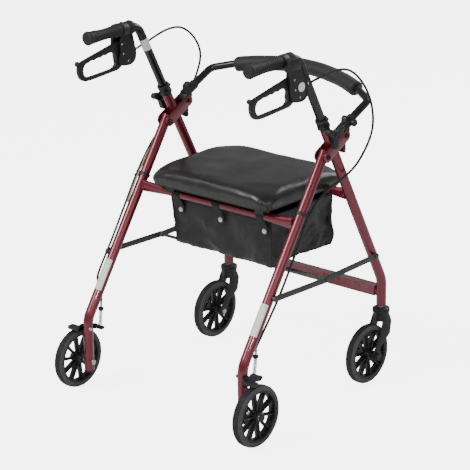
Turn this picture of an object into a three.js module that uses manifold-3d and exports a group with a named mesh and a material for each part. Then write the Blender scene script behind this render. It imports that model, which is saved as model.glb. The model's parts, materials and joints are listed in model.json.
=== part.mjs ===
// Four-wheeled folding walking frame with a flip-up seat, hoop backrest, bag and cable brakes.
// Millimetres. +Z up, +Y the way the walker rolls (castors in front), +X the user's right.
// The origin is on the floor, under the middle of the whole walker.

import * as THREE from "three";
import { mergeVertices } from "three/addons/utils/BufferGeometryUtils.js";
import Module from "manifold-3d";

const wasm = await Module();
wasm.setup();

// ---------------------------------------------------------------- driving dimensions

const HALF_TRACK = 253; // centre plane to the middle of each side frame
const LEG_D = 25.4;
const LEG_BORE = 22.6;
const GAP = 0.4; // clearance between neighbouring pieces
const BOLT_D = 8;
const BOLT_HOLE_D = 9.4;

const WHEEL_D = 152.4;
const TYRE_WIDTH = 24;
const WHEEL_OFFSET = 39; // rear wheel plane outside the side frame
const AXLE_Z = WHEEL_D / 2;
const RIM_DEPTH = 13.5; // tyre seat below the tread
const SPOKES = 10;
const SPOKE_PHASE = THREE.MathUtils.degToRad(25);
const REAR_HUB_HALF = 16.4;

const FRONT_LEAN = THREE.MathUtils.degToRad(27.2); // front leg, back from vertical
const FRONT_Y = 289.5; // upright foot of the front leg
const FRONT_BEND_Z = 259;
const FRONT_FOOT_Z = 190.5;
const FRONT_TOP_Z = 703;

const REAR_Y = -243; // upright foot of the rear leg
const REAR_BEND_Z = 187;
const REAR_FOOT_Z = 53;
const FOLD_PIVOT = { y: 57.5, z: 633 };

const BRACKET_T = 3.2;
const BRACKET_HALF_GAP = 13.1; // inner face of each bracket plate from the side-frame plane
const BACKREST_PIVOT = { y: 128.5, z: 670 };
const BACKREST_TILT = THREE.MathUtils.degToRad(24.6);
const BACKREST_TUBE_D = 19;
const BACKREST_AXIS_RISE = 14; // hoop axis above the pivot, square to the hoop
const HOOP_CORNER_REACH = 119.5; // pivot to where the hoop turns inwards
const PAD_HALF_SPAN = 200;
const PAD_REACH = 149.5; // pivot to the ends of the pad, along the hoop
const PAD_BOW = 45.25;
const PAD_D = 40;

const REAR_RAIL = { y: -40.5, z: 487.4 };
const FRONT_RAIL = { y: 159.5, z: 512 };
const LOWER_RAIL = { y: FRONT_Y, z: 226.5 };
const SEAT_RAIL_D = 19;
const RAIL_END_HEIGHT = 27;
const LOWER_RAIL_SIZE = 25.4;

const HANDLE_D = 21.6;
const HANDLE_BORE = 17.6;
const HANDLE_Z = 894;
const HANDLE_OVERLAP = 160; // handle tube inside the leg
const GRIP_END_Y = -214;
const GRIP_D = 31;

const LINK_REAR = { y: -144.8, z: 335.2 };
const LINK_FRONT = { y: 247.7, z: 333.8 };
const LINK_MIDDLE = { y: 48.6, z: 329.1 };
const LINK_T = 3;
const LINK_WIDTH = 15;
const LINK_FACE = HALF_TRACK + 14.2; // inner face of the inner (front) link

const SEAT = { halfWidth: 189, back: -78, front: 220, top: 562, deck: 526, underside: 512, corner: 30 };
const BAG = { halfWidth: 163, back: -28, front: 207, belly: 221, top: 484, bottom: 346, wall: 4 };

const ARM_PIVOT = { y: REAR_Y + 1, z: 160 };
const LEVER_PLANE = HALF_TRACK + 18.5; // brake lever and brake housing
const LEVER_PIVOT = { y: -74, z: 846 };
const KNOB = { z: 686, radius: 33, lobe: 8, thickness: 16 };
const KNOB_FIRST_LOBE = { right: 30, left: 45 }; // degrees up from forwards, as each was left

const CASTOR_TRAIL = 58;
const FORK_HALF_GAP = 15.5; // at the neck
const FORK_FLARE = 10; // each arm stands this much wider at the axle
const FORK_ARM_T = 4;
const FORK_TOP_Z = 184;
const ARM_TOP_Z = 150;
const HUB_END_D = 18;
const AXLE_CAP_D = 20;
const CASTOR_CAP_LENGTH = 12;

const TUBE_SIDES = 12;
const HOLE_SIDES = 8;
const BEND_STEPS = 3;
const WHEEL_SIDES = 28; // a multiple of four, so a flat of the tread faces the floor

// ---------------------------------------------------------------- finishes

const finish = (color, roughness, metalness = 0) =>
  new THREE.MeshStandardMaterial({ color, roughness, metalness });

const redPaint = () => finish(0x7d2433, 0.35, 0.55);
const blackPaint = () => finish(0x141416, 0.25, 0.3);
const blackPlastic = () => finish(0x2b2c2d, 0.55);
const greyPaint = () => finish(0x55585a, 0.5, 0.4);
const steel = () => finish(0xb9bcc0, 0.3, 0.9);
const rubber = () => finish(0x3a3b3c, 0.85);
const vinyl = () => finish(0x242425, 0.45);
const fabric = () => finish(0x2c2c2f, 0.9);

// ---------------------------------------------------------------- solids

function solidOf(geometry) {
  const bare = geometry.clone();
  bare.deleteAttribute("normal");
  bare.deleteAttribute("uv");
  const welded = mergeVertices(bare, 1e-4);
  const mesh = new wasm.Mesh({
    numProp: 3,
    vertProperties: new Float32Array(welded.attributes.position.array),
    triVerts: new Uint32Array(welded.index.array),
  });
  return new wasm.Manifold(mesh);
}

function geometryOf(solid) {
  const mesh = solid.getMesh();
  const geometry = new THREE.BufferGeometry();
  geometry.setAttribute("position", new THREE.BufferAttribute(mesh.vertProperties, 3));
  geometry.setIndex(new THREE.BufferAttribute(mesh.triVerts, 1));
  geometry.computeVertexNormals();
  return geometry;
}

function build(added, removed = []) {
  let solid = solidOf(added[0]);
  for (const geometry of added.slice(1)) solid = solid.add(solidOf(geometry));
  for (const geometry of removed) solid = solid.subtract(solidOf(geometry));
  return geometryOf(solid);
}

// ---------------------------------------------------------------- basic shapes

const at = (x, y, z) => new THREE.Vector3(x, y, z);

function polygon(radius, sides) {
  const points = [];
  for (let i = 0; i < sides; i++) {
    const a = (2 * Math.PI * (i + 0.5)) / sides;
    points.push(new THREE.Vector2(radius * Math.cos(a), radius * Math.sin(a)));
  }
  return points;
}

// Straight runs joined by round bends, sampled only where the line turns.
class BentPath extends THREE.Curve {
  constructor(corners, radius, steps = BEND_STEPS) {
    super();
    this.samples = [corners[0]];
    for (let i = 1; i < corners.length - 1; i++) this.addBend(corners, i, radius, steps);
    this.samples.push(corners[corners.length - 1]);
  }

  addBend(corners, i, radius, steps) {
    const corner = corners[i];
    const before = corners[i - 1].clone().sub(corner).normalize();
    const after = corners[i + 1].clone().sub(corner).normalize();
    const half = before.angleTo(after) / 2;
    const towards = before.clone().add(after).normalize();
    const centre = corner.clone().addScaledVector(towards, radius / Math.sin(half));
    const reach = radius / Math.tan(half);
    const start = corner.clone().addScaledVector(before, reach).sub(centre);
    const end = corner.clone().addScaledVector(after, reach).sub(centre);
    const axis = start.clone().cross(end).normalize();
    const sweep = start.angleTo(end);
    for (let k = 0; k <= steps; k++) {
      this.samples.push(start.clone().applyAxisAngle(axis, (sweep * k) / steps).add(centre));
    }
  }

  getPoint(t, target = new THREE.Vector3()) {
    const place = t * (this.samples.length - 1);
    const i = Math.min(Math.floor(place), this.samples.length - 2);
    return target.lerpVectors(this.samples[i], this.samples[i + 1], place - i);
  }

  getPointAt(u, target) {
    return this.getPoint(u, target);
  }

  getTangentAt(u, target) {
    return this.getTangent(u, target);
  }
}

function tubeAlong(path, outer, bore, sides = TUBE_SIDES) {
  const ring = new THREE.Shape(polygon(outer / 2, sides));
  if (bore) ring.holes.push(new THREE.Path(polygon(bore / 2, sides)));
  return new THREE.ExtrudeGeometry(ring, { steps: path.samples.length - 1, extrudePath: path });
}

const straight = (from, to) => new BentPath([from, to], 1);

// An outline in the side view (y, z), from x0 to x1.
const SIDEWAYS = new THREE.Matrix4().makeBasis(at(0, 1, 0), at(0, 0, 1), at(1, 0, 0));

function sidePlate(shape, x0, x1, arcSteps = 4) {
  const low = Math.min(x0, x1);
  const depth = Math.abs(x1 - x0);
  const settings = { depth, bevelEnabled: false, curveSegments: arcSteps };
  const geometry = new THREE.ExtrudeGeometry(shape, settings);
  return geometry.applyMatrix4(SIDEWAYS).translate(low, 0, 0);
}

const sideShape = (points) => new THREE.Shape(points.map(([y, z]) => new THREE.Vector2(y, z)));

// A round bar along X.
function crossBar(x0, x1, y, z, diameter, sides = 12) {
  return sidePlate(new THREE.Shape(polygon(diameter / 2, sides)), x0, x1).translate(0, y, z);
}

function upright(x, y, z0, z1, diameter, sides = 16) {
  const geometry = new THREE.CylinderGeometry(diameter / 2, diameter / 2, z1 - z0, sides);
  return geometry.rotateX(Math.PI / 2).translate(x, y, (z0 + z1) / 2);
}

function block(x0, x1, y0, y1, z0, z1) {
  const geometry = new THREE.BoxGeometry(Math.abs(x1 - x0), y1 - y0, z1 - z0);
  return geometry.translate((x0 + x1) / 2, (y0 + y1) / 2, (z0 + z1) / 2);
}

// A flat bar's outline with round ends, from a to b in the side view.
function barShape(a, b, width) {
  const along = Math.atan2(b.z - a.z, b.y - a.y);
  const shape = new THREE.Shape();
  shape.absarc(b.y, b.z, width / 2, along - Math.PI / 2, along + Math.PI / 2, false);
  shape.absarc(a.y, a.z, width / 2, along + Math.PI / 2, along + (3 * Math.PI) / 2, false);
  return shape;
}

// A body of revolution about X through (y, z): profile points are [x, radius].
function turned(profile, x, y, z, side, sides = WHEEL_SIDES) {
  const points = profile.map(([across, radius]) => new THREE.Vector2(radius, across));
  const geometry = new THREE.LatheGeometry(points, sides, Math.PI / sides);
  return geometry.rotateZ((-side * Math.PI) / 2).translate(x, y, z);
}

const frontAxisY = (z) => FRONT_Y - (z - FRONT_BEND_Z) * Math.tan(FRONT_LEAN);
const frontAxisZ = (y) => FRONT_BEND_Z + (FRONT_Y - y) / Math.tan(FRONT_LEAN);
const rearSlope = (FOLD_PIVOT.z - REAR_BEND_Z) / (FOLD_PIVOT.y - REAR_Y);
const rearAxisY = (z) => REAR_Y + (z - REAR_BEND_Z) / rearSlope;
const legDirection = at(0, -Math.sin(FRONT_LEAN), Math.cos(FRONT_LEAN));
const sideName = (side) => (side > 0 ? "right" : "left");

// ---------------------------------------------------------------- assembly helper

const walker = new THREE.Group();

function addPiece(name, geometry, material, place = at(0, 0, 0)) {
  const mesh = new THREE.Mesh(geometry.translate(-place.x, -place.y, -place.z), material);
  mesh.name = name;
  mesh.position.copy(place);
  walker.add(mesh);
  return mesh;
}

// ---------------------------------------------------------------- front frame

function frontLeg(side) {
  const x = side * HALF_TRACK;
  const top = at(x, frontAxisY(FRONT_TOP_Z), FRONT_TOP_Z);
  const corners = [top, at(x, FRONT_Y, FRONT_BEND_Z), at(x, FRONT_Y, FRONT_FOOT_Z)];
  const tube = tubeAlong(new BentPath(corners, 60), LEG_D);
  const reach = top.clone().addScaledVector(legDirection, 20);
  const lower = at(x, FRONT_Y, FRONT_FOOT_Z - 20);
  const bore = tubeAlong(new BentPath([reach, corners[1], lower], 60), LEG_BORE);
  const plates = [1, -1].map((face) => bracketPlate(x, face));
  const crossZ = (FOLD_PIVOT.z + BACKREST_PIVOT.z) / 2 - 2;
  const reachX = BRACKET_HALF_GAP + 0.5;
  const weld = crossBar(x - reachX, x + reachX, frontAxisY(crossZ), crossZ, 20);
  const linkHole = crossBar(x, x + side * 20, LINK_FRONT.y, LINK_FRONT.z, BOLT_HOLE_D, HOLE_SIDES);
  const knobHole = crossBar(x, x + side * 20, frontAxisY(KNOB.z), KNOB.z, BOLT_HOLE_D, HOLE_SIDES);
  return build([tube, weld, ...plates], [bore, linkHole, knobHole]);
}

// Plate across the front leg: rear-leg pivot at one end, backrest pivot at the other.
function bracketPlate(x, face) {
  const inner = x + face * BRACKET_HALF_GAP;
  const outer = inner + face * BRACKET_T;
  const reach = face * 2;
  const holes = [FOLD_PIVOT, BACKREST_PIVOT].map((p) =>
    crossBar(inner - reach, outer + reach, p.y, p.z, BOLT_HOLE_D, HOLE_SIDES),
  );
  return build([sidePlate(barShape(FOLD_PIVOT, BACKREST_PIVOT, 28), inner, outer)], holes);
}

function roundRail(place) {
  const end = HALF_TRACK - LEG_D / 2 - GAP;
  const bar = crossBar(-end, end, place.y, place.z, SEAT_RAIL_D, TUBE_SIDES);
  const ends = [1, -1].map((side) => flattenedEnd(side, end, place));
  return build([bar, ...ends]);
}

// A rail's end is pressed flat where it meets the leg, so it is taller and thinner there.
function flattenedEnd(side, end, place) {
  const length = 34;
  const flat = new THREE.CylinderGeometry(0.5, 0.5, 1, 12).rotateZ(Math.PI / 2);
  const spots = flat.attributes.position;
  for (let i = 0; i < spots.count; i++) {
    const tip = spots.getX(i) * side > 0;
    spots.setX(i, side * (tip ? end : end - length));
    spots.setY(i, spots.getY(i) * (tip ? SEAT_RAIL_D - 5 : SEAT_RAIL_D - 1));
    spots.setZ(i, spots.getZ(i) * (tip ? RAIL_END_HEIGHT : SEAT_RAIL_D - 1));
  }
  return flat.translate(0, place.y, place.z);
}

function lowerRail() {
  const end = HALF_TRACK - LEG_D / 2 - GAP;
  const half = LOWER_RAIL_SIZE / 2;
  const { y, z } = LOWER_RAIL;
  const outer = block(-end, end, y - half, y + half, z - half, z + half);
  const wall = 2;
  const inner = half - wall;
  const hollow = block(-end - 1, end + 1, y - inner, y + inner, z - inner, z + inner);
  return build([outer], [hollow]);
}

// Plastic collar closing the top of the leg round the handle tube.
function collar(side) {
  const from = at(side * HALF_TRACK, frontAxisY(FRONT_TOP_Z), FRONT_TOP_Z);
  const low = from.clone().addScaledVector(legDirection, GAP);
  const high = low.clone().addScaledVector(legDirection, 27);
  const lip = low.clone().addScaledVector(legDirection, 6);
  const body = tubeAlong(straight(low, high), LEG_D - 0.6);
  const rim = tubeAlong(straight(low, lip), LEG_D + 4);
  const bore = tubeAlong(
    straight(low.clone().addScaledVector(legDirection, -2), high.clone().addScaledVector(legDirection, 2)),
    HANDLE_D + 1,
  );
  return build([body, rim], [bore]);
}

// Pivot bolt through both bracket plates, with a dome head and a nut.
function pivotBolt(side, place, x0, x1) {
  const shank = crossBar(side * x0, side * x1, place.y, place.z, BOLT_D, 12);
  const head = crossBar(side * x1, side * (x1 + 4), place.y, place.z, 14, 12);
  const nut = crossBar(side * (x0 - 5), side * x0, place.y, place.z, 13, 6);
  return build([shank, head, nut]);
}

function castorStem(side) {
  const x = side * HALF_TRACK;
  const plug = upright(x, FRONT_Y, FRONT_FOOT_Z - 3, FRONT_FOOT_Z + 24, LEG_BORE - 2 * GAP);
  const flange = upright(x, FRONT_Y, FRONT_FOOT_Z - 5.6, FRONT_FOOT_Z - GAP, 20);
  const pin = upright(x, FRONT_Y, FORK_TOP_Z - 32, FRONT_FOOT_Z, 10);
  const nut = upright(x, FRONT_Y, FORK_TOP_Z - 36, FORK_TOP_Z - 30, 17, 6);
  return build([plug, flange, pin, nut]);
}

function addFrontFrame(side) {
  const name = sideName(side);
  const x = side * HALF_TRACK;
  addPiece(`front_leg_${name}`, frontLeg(side), redPaint(), at(x, FRONT_Y, FRONT_FOOT_Z));
  addPiece(`leg_collar_${name}`, collar(side), blackPlastic(), at(x, 60, FRONT_TOP_Z));
  const inside = HALF_TRACK - BRACKET_HALF_GAP - BRACKET_T - GAP;
  const outside = HALF_TRACK + BRACKET_HALF_GAP + BRACKET_T + GAP;
  for (const [label, place] of [["fold_bolt", FOLD_PIVOT], ["backrest_bolt", BACKREST_PIVOT]]) {
    const bolt = pivotBolt(side, place, inside, outside);
    addPiece(`${label}_${name}`, bolt, steel(), at(x, place.y, place.z));
  }
  addPiece(`castor_stem_${name}`, castorStem(side), steel(), at(x, FRONT_Y, FORK_TOP_Z));
}

// ---------------------------------------------------------------- rear frame

const SPRING_REACH = 41; // spring foot in front of the brake arm's pivot
const ADJUSTER_TOP = at(HALF_TRACK, ARM_PIVOT.y + 49, ARM_PIVOT.z + 66);

function rearLeg(side) {
  const x = side * HALF_TRACK;
  const up = at(0, FOLD_PIVOT.y - REAR_Y, FOLD_PIVOT.z - REAR_BEND_Z).normalize();
  const pivot = at(x, FOLD_PIVOT.y, FOLD_PIVOT.z);
  const top = pivot.clone().addScaledVector(up, 13);
  const corners = [top, at(x, REAR_Y, REAR_BEND_Z), at(x, REAR_Y, REAR_FOOT_Z)];
  const tube = tubeAlong(new BentPath(corners, 60), LEG_D);
  const above = top.clone().addScaledVector(up, 5);
  const bore = tubeAlong(new BentPath([above, corners[1], at(x, REAR_Y, REAR_FOOT_Z - 5)], 60), 22);
  const across = (p, d) => crossBar(x - 20, x + 20, p.y, p.z, d, HOLE_SIDES);
  const linkHole = crossBar(x, x + side * 20, LINK_REAR.y, LINK_REAR.z, BOLT_HOLE_D, HOLE_SIDES);
  const axle = across({ y: REAR_Y, z: AXLE_Z }, BOLT_HOLE_D);
  return build([tube], [bore, across(FOLD_PIVOT, BOLT_HOLE_D), axle, across(ARM_PIVOT, 7.4), linkHole]);
}

function rearAxle(side) {
  const inner = side * (HALF_TRACK - LEG_D / 2 - GAP);
  const outer = side * (HALF_TRACK + WHEEL_OFFSET + 17);
  const shank = crossBar(inner, outer, REAR_Y, AXLE_Z, BOLT_D, 12);
  const nut = crossBar(inner - side * 6, inner, REAR_Y, AXLE_Z, 14, 6);
  const head = crossBar(outer, outer + side * 4, REAR_Y, AXLE_Z, AXLE_CAP_D, 12);
  return build([shank, nut, head]);
}

// Side view of the brake arm: a tab that slopes down in front, and a boss round the pivot.
function brakeArmShape() {
  const { y, z } = ARM_PIVOT;
  return sideShape([
    [y - 22, z - 4.5],
    [y - 4, z - 4.5],
    [y + 42, z - 14],
    [y + 47, z - 2],
    [y - 5, z + 12],
    [y - 22, z + 7],
  ]);
}

// Brake arm: front end pulled up by the cable, rear end a shoe across the top of the tyre.
function brakeArm(side) {
  const near = side * (HALF_TRACK + LEG_D / 2 + 1.2);
  const far = near + side * 7;
  const { y, z } = ARM_PIVOT;
  const arm = sidePlate(brakeArmShape(), near, far);
  const tyreFace = side * (HALF_TRACK + WHEEL_OFFSET + TYRE_WIDTH / 2);
  const shoe = block(near, tyreFace, y - 22, y - 4, z - 4.5, z + 5);
  const foot = y + SPRING_REACH;
  const seat = block(side * (HALF_TRACK - 10), far, foot - 6, foot + 6, z - 10, z - 3);
  const pin = crossBar(side * (HALF_TRACK + 4), near, y, z, 6, 10);
  return build([arm, shoe, seat, pin]);
}

// Return spring and cable adjuster standing on the brake arm's front end.
function brakeSpring(side) {
  const x = side * HALF_TRACK;
  const low = at(x, ARM_PIVOT.y + SPRING_REACH, ARM_PIVOT.z - 3 + 3 * GAP);
  const high = at(x, ADJUSTER_TOP.y, ADJUSTER_TOP.z - 2);
  const nutLow = high.clone().lerp(low, 0.3);
  const nutHigh = high.clone().lerp(low, 0.24);
  const middle = high.clone().lerp(low, 0.27);
  const coil = tubeAlong(straight(low, middle), 9, 0, 12);
  const nut = tubeAlong(straight(nutLow, nutHigh), 15, 0, 6);
  const adjuster = tubeAlong(straight(middle.clone().lerp(low, 0.05), high), 6.5, 0, 10);
  return build([coil, nut, adjuster]);
}

// Side view of the bag: open above, a little deeper from front to back near its floor.
function bagOutline(inset, rise) {
  const { back, front, belly, top, bottom } = BAG;
  const corner = 12;
  return sideShape([
    [back + inset, top + rise],
    [back + inset, bottom + corner],
    [back + corner, bottom + inset],
    [belly - corner, bottom + inset],
    [belly - inset, bottom + corner],
    [front - inset, top + rise],
  ]);
}

function bag() {
  const outside = sidePlate(bagOutline(0, 0), -BAG.halfWidth, BAG.halfWidth);
  const reach = BAG.halfWidth - BAG.wall;
  return build([outside], [sidePlate(bagOutline(BAG.wall, 5), -reach, reach)]);
}

function addRearFrame(side) {
  const name = sideName(side);
  const x = side * HALF_TRACK;
  addPiece(`rear_leg_${name}`, rearLeg(side), redPaint(), at(x, REAR_Y, REAR_FOOT_Z));
  addPiece(`rear_axle_${name}`, rearAxle(side), steel(), at(x, REAR_Y, AXLE_Z));
  const pivot = at(x, ARM_PIVOT.y, ARM_PIVOT.z);
  addPiece(`brake_arm_${name}`, brakeArm(side), blackPlastic(), pivot);
  addPiece(`brake_spring_${name}`, brakeSpring(side), steel(), at(x, ARM_PIVOT.y + 50, ARM_PIVOT.z));
}

// ---------------------------------------------------------------- folding links

// Flat link with a pivot pin that enters the leg's wall.
function link(side, legEnd, inner, middleHole) {
  const x0 = side * inner;
  const x1 = side * (inner + LINK_T);
  const bar = sidePlate(barShape(legEnd, LINK_MIDDLE, LINK_WIDTH), x0, x1, 8);
  const pin = crossBar(side * (HALF_TRACK + 9), x1, legEnd.y, legEnd.z, BOLT_D, HOLE_SIDES);
  const head = crossBar(x1, x1 + side * 4, legEnd.y, legEnd.z, 13, HOLE_SIDES);
  const hole = crossBar(x0 - side * 2, x1 + side * 2, LINK_MIDDLE.y, LINK_MIDDLE.z, middleHole, HOLE_SIDES);
  return build([bar, pin, head], [hole]);
}

// The rod ends inside the front links; the rear links lap over them and only meet them at their faces.
function crossRod() {
  const end = LINK_FACE + LINK_T;
  const bar = crossBar(-end, end, LINK_MIDDLE.y, LINK_MIDDLE.z, 8, 12);
  const stops = [1, -1].map((side) => {
    const face = side * (LINK_FACE - GAP);
    return crossBar(face - side * 5, face, LINK_MIDDLE.y, LINK_MIDDLE.z, 13, 12);
  });
  return build([bar, ...stops]);
}

function rearLink(side) {
  const inner = LINK_FACE + LINK_T + GAP;
  const x0 = side * inner;
  const x1 = side * (inner + LINK_T);
  const bar = sidePlate(barShape(LINK_REAR, LINK_MIDDLE, LINK_WIDTH), x0, x1, 8);
  const pin = crossBar(side * (HALF_TRACK + 9), x1, LINK_REAR.y, LINK_REAR.z, BOLT_D, 10);
  const spacer = crossBar(side * LINK_FACE, x0, LINK_REAR.y, LINK_REAR.z, 13, 10);
  const heads = [LINK_REAR, LINK_MIDDLE].map((p) => crossBar(x1, x1 + side * 4, p.y, p.z, 13, 10));
  return build([bar, pin, spacer, ...heads]);
}

function addLinks(side) {
  const name = sideName(side);
  const frontPlace = at(side * LINK_FACE, LINK_FRONT.y, LINK_FRONT.z);
  const rearPlace = at(side * LINK_FACE, LINK_REAR.y, LINK_REAR.z);
  addPiece(`front_link_${name}`, link(side, LINK_FRONT, LINK_FACE, BOLT_HOLE_D), greyPaint(), frontPlace);
  addPiece(`rear_link_${name}`, rearLink(side), greyPaint(), rearPlace);
}

// ---------------------------------------------------------------- seat

function seatOutline(inset) {
  const { halfWidth, back, front, corner } = SEAT;
  const w = halfWidth - inset;
  const y0 = back + inset;
  const y1 = front - inset;
  const r = corner - inset;
  const shape = new THREE.Shape();
  shape.absarc(w - r, y1 - r, r, 0, Math.PI / 2, false);
  shape.absarc(-w + r, y1 - r, r, Math.PI / 2, Math.PI, false);
  shape.absarc(-w + r, y0 + r, r, Math.PI, 1.5 * Math.PI, false);
  shape.absarc(w - r, y0 + r, r, 1.5 * Math.PI, 2 * Math.PI, false);
  return shape;
}

function seatLayer(inset, z0, z1) {
  const settings = { depth: z1 - z0, bevelEnabled: false, curveSegments: 6 };
  return new THREE.ExtrudeGeometry(seatOutline(inset), settings).translate(0, 0, z0);
}

function seatRest(side) {
  const x = side * (SEAT.halfWidth - 45);
  return block(x - 14, x + 14, REAR_RAIL.y - 11, REAR_RAIL.y + 11, REAR_RAIL.z + 6, SEAT.underside + 1);
}

// Strap of plastic under the front rail that keeps the seat on it.
function seatClip(side) {
  const x0 = side * (SEAT.halfWidth - 30);
  const x1 = x0 - side * 22;
  const r = SEAT_RAIL_D / 2 + GAP;
  const { y, z } = FRONT_RAIL;
  const wall = 3;
  const body = block(x0, x1, y - r - wall, y + r + wall, z - r - wall, SEAT.underside - GAP);
  return build([body], [crossBar(x0 + side, x1 - side, y, z, 2 * r, TUBE_SIDES)]);
}

// Seat board: grooved below for the front rail it turns on, with feet that rest on the rear rail.
function seatPan() {
  const pan = seatLayer(2, SEAT.underside, SEAT.deck);
  const reach = SEAT.halfWidth + 5;
  const railRoom = SEAT_RAIL_D + 2 * GAP;
  const groove = crossBar(-reach, reach, FRONT_RAIL.y, FRONT_RAIL.z, railRoom, TUBE_SIDES);
  const rests = [1, -1].map((side) => seatRest(side));
  const restGroove = crossBar(-reach, reach, REAR_RAIL.y, REAR_RAIL.z, railRoom, TUBE_SIDES);
  return build([pan, ...rests], [groove, restGroove]);
}

// ---------------------------------------------------------------- handles

// Handle tube: slides in the leg, bends back to the level grip.
function handleTube(side) {
  const x = side * HALF_TRACK;
  const top = at(x, frontAxisY(FRONT_TOP_Z), FRONT_TOP_Z);
  const low = top.clone().addScaledVector(legDirection, -HANDLE_OVERLAP);
  return build([tubeAlong(handlePath(low, x), HANDLE_D, HANDLE_BORE)]);
}

function handlePath(low, x) {
  const corner = at(x, frontAxisY(HANDLE_Z), HANDLE_Z);
  return new BentPath([low, corner, at(x, GRIP_END_Y + 6, HANDLE_Z)], 38);
}

// Hand grip with a palm swell and a flared, closed end.
function grip(side) {
  const front = -99;
  const length = front - GRIP_END_Y;
  const r = GRIP_D / 2;
  const bore = HANDLE_D / 2 + GAP;
  const depth = length - 5;
  const profile = [
    [0, bore],
    [0, r - 1],
    [4, r],
    [length * 0.45, r - 1.5],
    [length * 0.8, r],
    [length - 8, r + 2],
    [length - 1, r],
    [length, r - 4],
    [length, 0],
    [depth, 0],
    [depth, bore],
    [0, bore],
  ].map(([along, radius]) => new THREE.Vector2(radius, along));
  const geometry = new THREE.LatheGeometry(profile, 14);
  return geometry.rotateX(Math.PI).translate(side * HALF_TRACK, front, HANDLE_Z);
}

function housingShape() {
  const shape = new THREE.Shape();
  shape.moveTo(-98, 893);
  shape.lineTo(-101, 858);
  shape.lineTo(-94, 815);
  shape.quadraticCurveTo(-94, 801, -80, 799);
  shape.lineTo(-62, 797);
  shape.quadraticCurveTo(-34, 797, -34, 824);
  shape.lineTo(-40, 852);
  shape.lineTo(-58, 893);
  return shape;
}

// Brake housing: clamps the handle tube and hangs beside it, slotted behind for the lever.
function brakeHousing(side) {
  const x = side * HALF_TRACK;
  const near = side * (LEVER_PLANE - 11.5);
  const far = side * (LEVER_PLANE + 11.5);
  const shell = sidePlate(housingShape(), near, far);
  const clamp = crossSleeve(x, -97, -58, 34);
  const bridge = block(x, far, -97, -58, HANDLE_Z - 17, HANDLE_Z + 10);
  const bore = tubeAlong(handlePath(at(x, 20, frontAxisZ(20)), x), HANDLE_D + 2.5 * GAP);
  const slotShape = sideShape([
    [-130, 870],
    [-130, 780],
    [-80, 780],
    [-48, 808],
    [-50, 866],
    [-70, 872],
  ]);
  const slot = sidePlate(slotShape, side * (LEVER_PLANE - 5.5), side * (LEVER_PLANE + 5.5));
  const pin = crossBar(near, far, LEVER_PIVOT.y, LEVER_PIVOT.z, 6, 10);
  const cableLine = straight(at(side * LEVER_PLANE, -40, 826), at(side * LEVER_PLANE, -24, 830));
  const boss = tubeAlong(cableLine, 9, 0, 10);
  const outer = build([shell, clamp, bridge, boss], [bore, slot]);
  return build([outer, pin]);
}

// A round bar along Y at handle height.
function crossSleeve(x, y0, y1, diameter) {
  return tubeAlong(straight(at(x, y0, HANDLE_Z), at(x, y1, HANDLE_Z)), diameter, 0, 14);
}

// Loop lever: a closed hoop of flat section with a ball at its tip.
function brakeLever(side) {
  const hoop = new THREE.Shape();
  hoop.moveTo(-62, 838);
  hoop.lineTo(-64, 860);
  hoop.lineTo(-98, 860);
  hoop.lineTo(-214, 836);
  hoop.quadraticCurveTo(-232, 832, -230, 812);
  hoop.quadraticCurveTo(-226, 788, -206, 785);
  hoop.lineTo(-188, 784);
  hoop.lineTo(-96, 790);
  hoop.quadraticCurveTo(-78, 793, -70, 812);
  const opening = new THREE.Path();
  opening.moveTo(-112, 838);
  opening.quadraticCurveTo(-98, 834, -99, 818);
  opening.quadraticCurveTo(-98, 800, -116, 797);
  opening.lineTo(-192, 793);
  opening.quadraticCurveTo(-212, 794, -212, 812);
  opening.quadraticCurveTo(-211, 828, -194, 829);
  hoop.holes.push(opening);
  const x0 = side * (LEVER_PLANE - 4.6);
  const x1 = side * (LEVER_PLANE + 4.6);
  const ball = new THREE.SphereGeometry(6.5, 8, 6).translate(side * LEVER_PLANE, -230, 832);
  const hole = crossBar(x0 - side, x1 + side, LEVER_PIVOT.y, LEVER_PIVOT.z, 7, 12);
  return build([sidePlate(hoop, x0, x1), ball], [hole]);
}

// Three-lobed knob that clamps the handle tube.
function heightKnob(side) {
  const shape = new THREE.Shape();
  const lobes = 3;
  const first = THREE.MathUtils.degToRad(KNOB_FIRST_LOBE[sideName(side)]);
  const reach = KNOB.radius - KNOB.lobe;
  for (let i = 0; i < lobes; i++) {
    const a = first + (2 * Math.PI * i) / lobes;
    shape.absarc(reach * Math.cos(a), reach * Math.sin(a), KNOB.lobe, a - 1.25, a + 1.25, false);
  }
  const y = frontAxisY(KNOB.z);
  const base = side * (HALF_TRACK + LEG_D / 2 + 5);
  const body = sidePlate(shape, base, base + side * KNOB.thickness).translate(0, y, KNOB.z);
  const boss = crossBar(side * (HALF_TRACK + LEG_D / 2 + 1), base, y, KNOB.z, 18, 12);
  const stud = crossBar(side * (HALF_TRACK + HANDLE_D / 2 + GAP), base, y, KNOB.z, BOLT_D, 12);
  return build([body, boss, stud]);
}

function addHandle(side) {
  const name = sideName(side);
  const x = side * HALF_TRACK;
  const corner = at(x, frontAxisY(HANDLE_Z), HANDLE_Z);
  addPiece(`handle_tube_${name}`, handleTube(side), blackPaint(), corner);
  addPiece(`grip_${name}`, grip(side), rubber(), at(x, GRIP_END_Y, HANDLE_Z));
  addPiece(`brake_housing_${name}`, brakeHousing(side), blackPlastic(), at(x, -78, HANDLE_Z));
  const pivot = at(side * LEVER_PLANE, LEVER_PIVOT.y, LEVER_PIVOT.z);
  addPiece(`brake_lever_${name}`, brakeLever(side), blackPlastic(), pivot);
  addPiece(`height_knob_${name}`, heightKnob(side), blackPlastic(), at(x, frontAxisY(KNOB.z), KNOB.z));
}

// ---------------------------------------------------------------- brake cables

class SmoothPath extends BentPath {
  constructor(points, steps) {
    super([points[0], points[points.length - 1]], 1);
    this.samples = new THREE.CatmullRomCurve3(points, false, "centripetal").getPoints(steps);
  }
}

const CABLE_D = 5;

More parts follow.
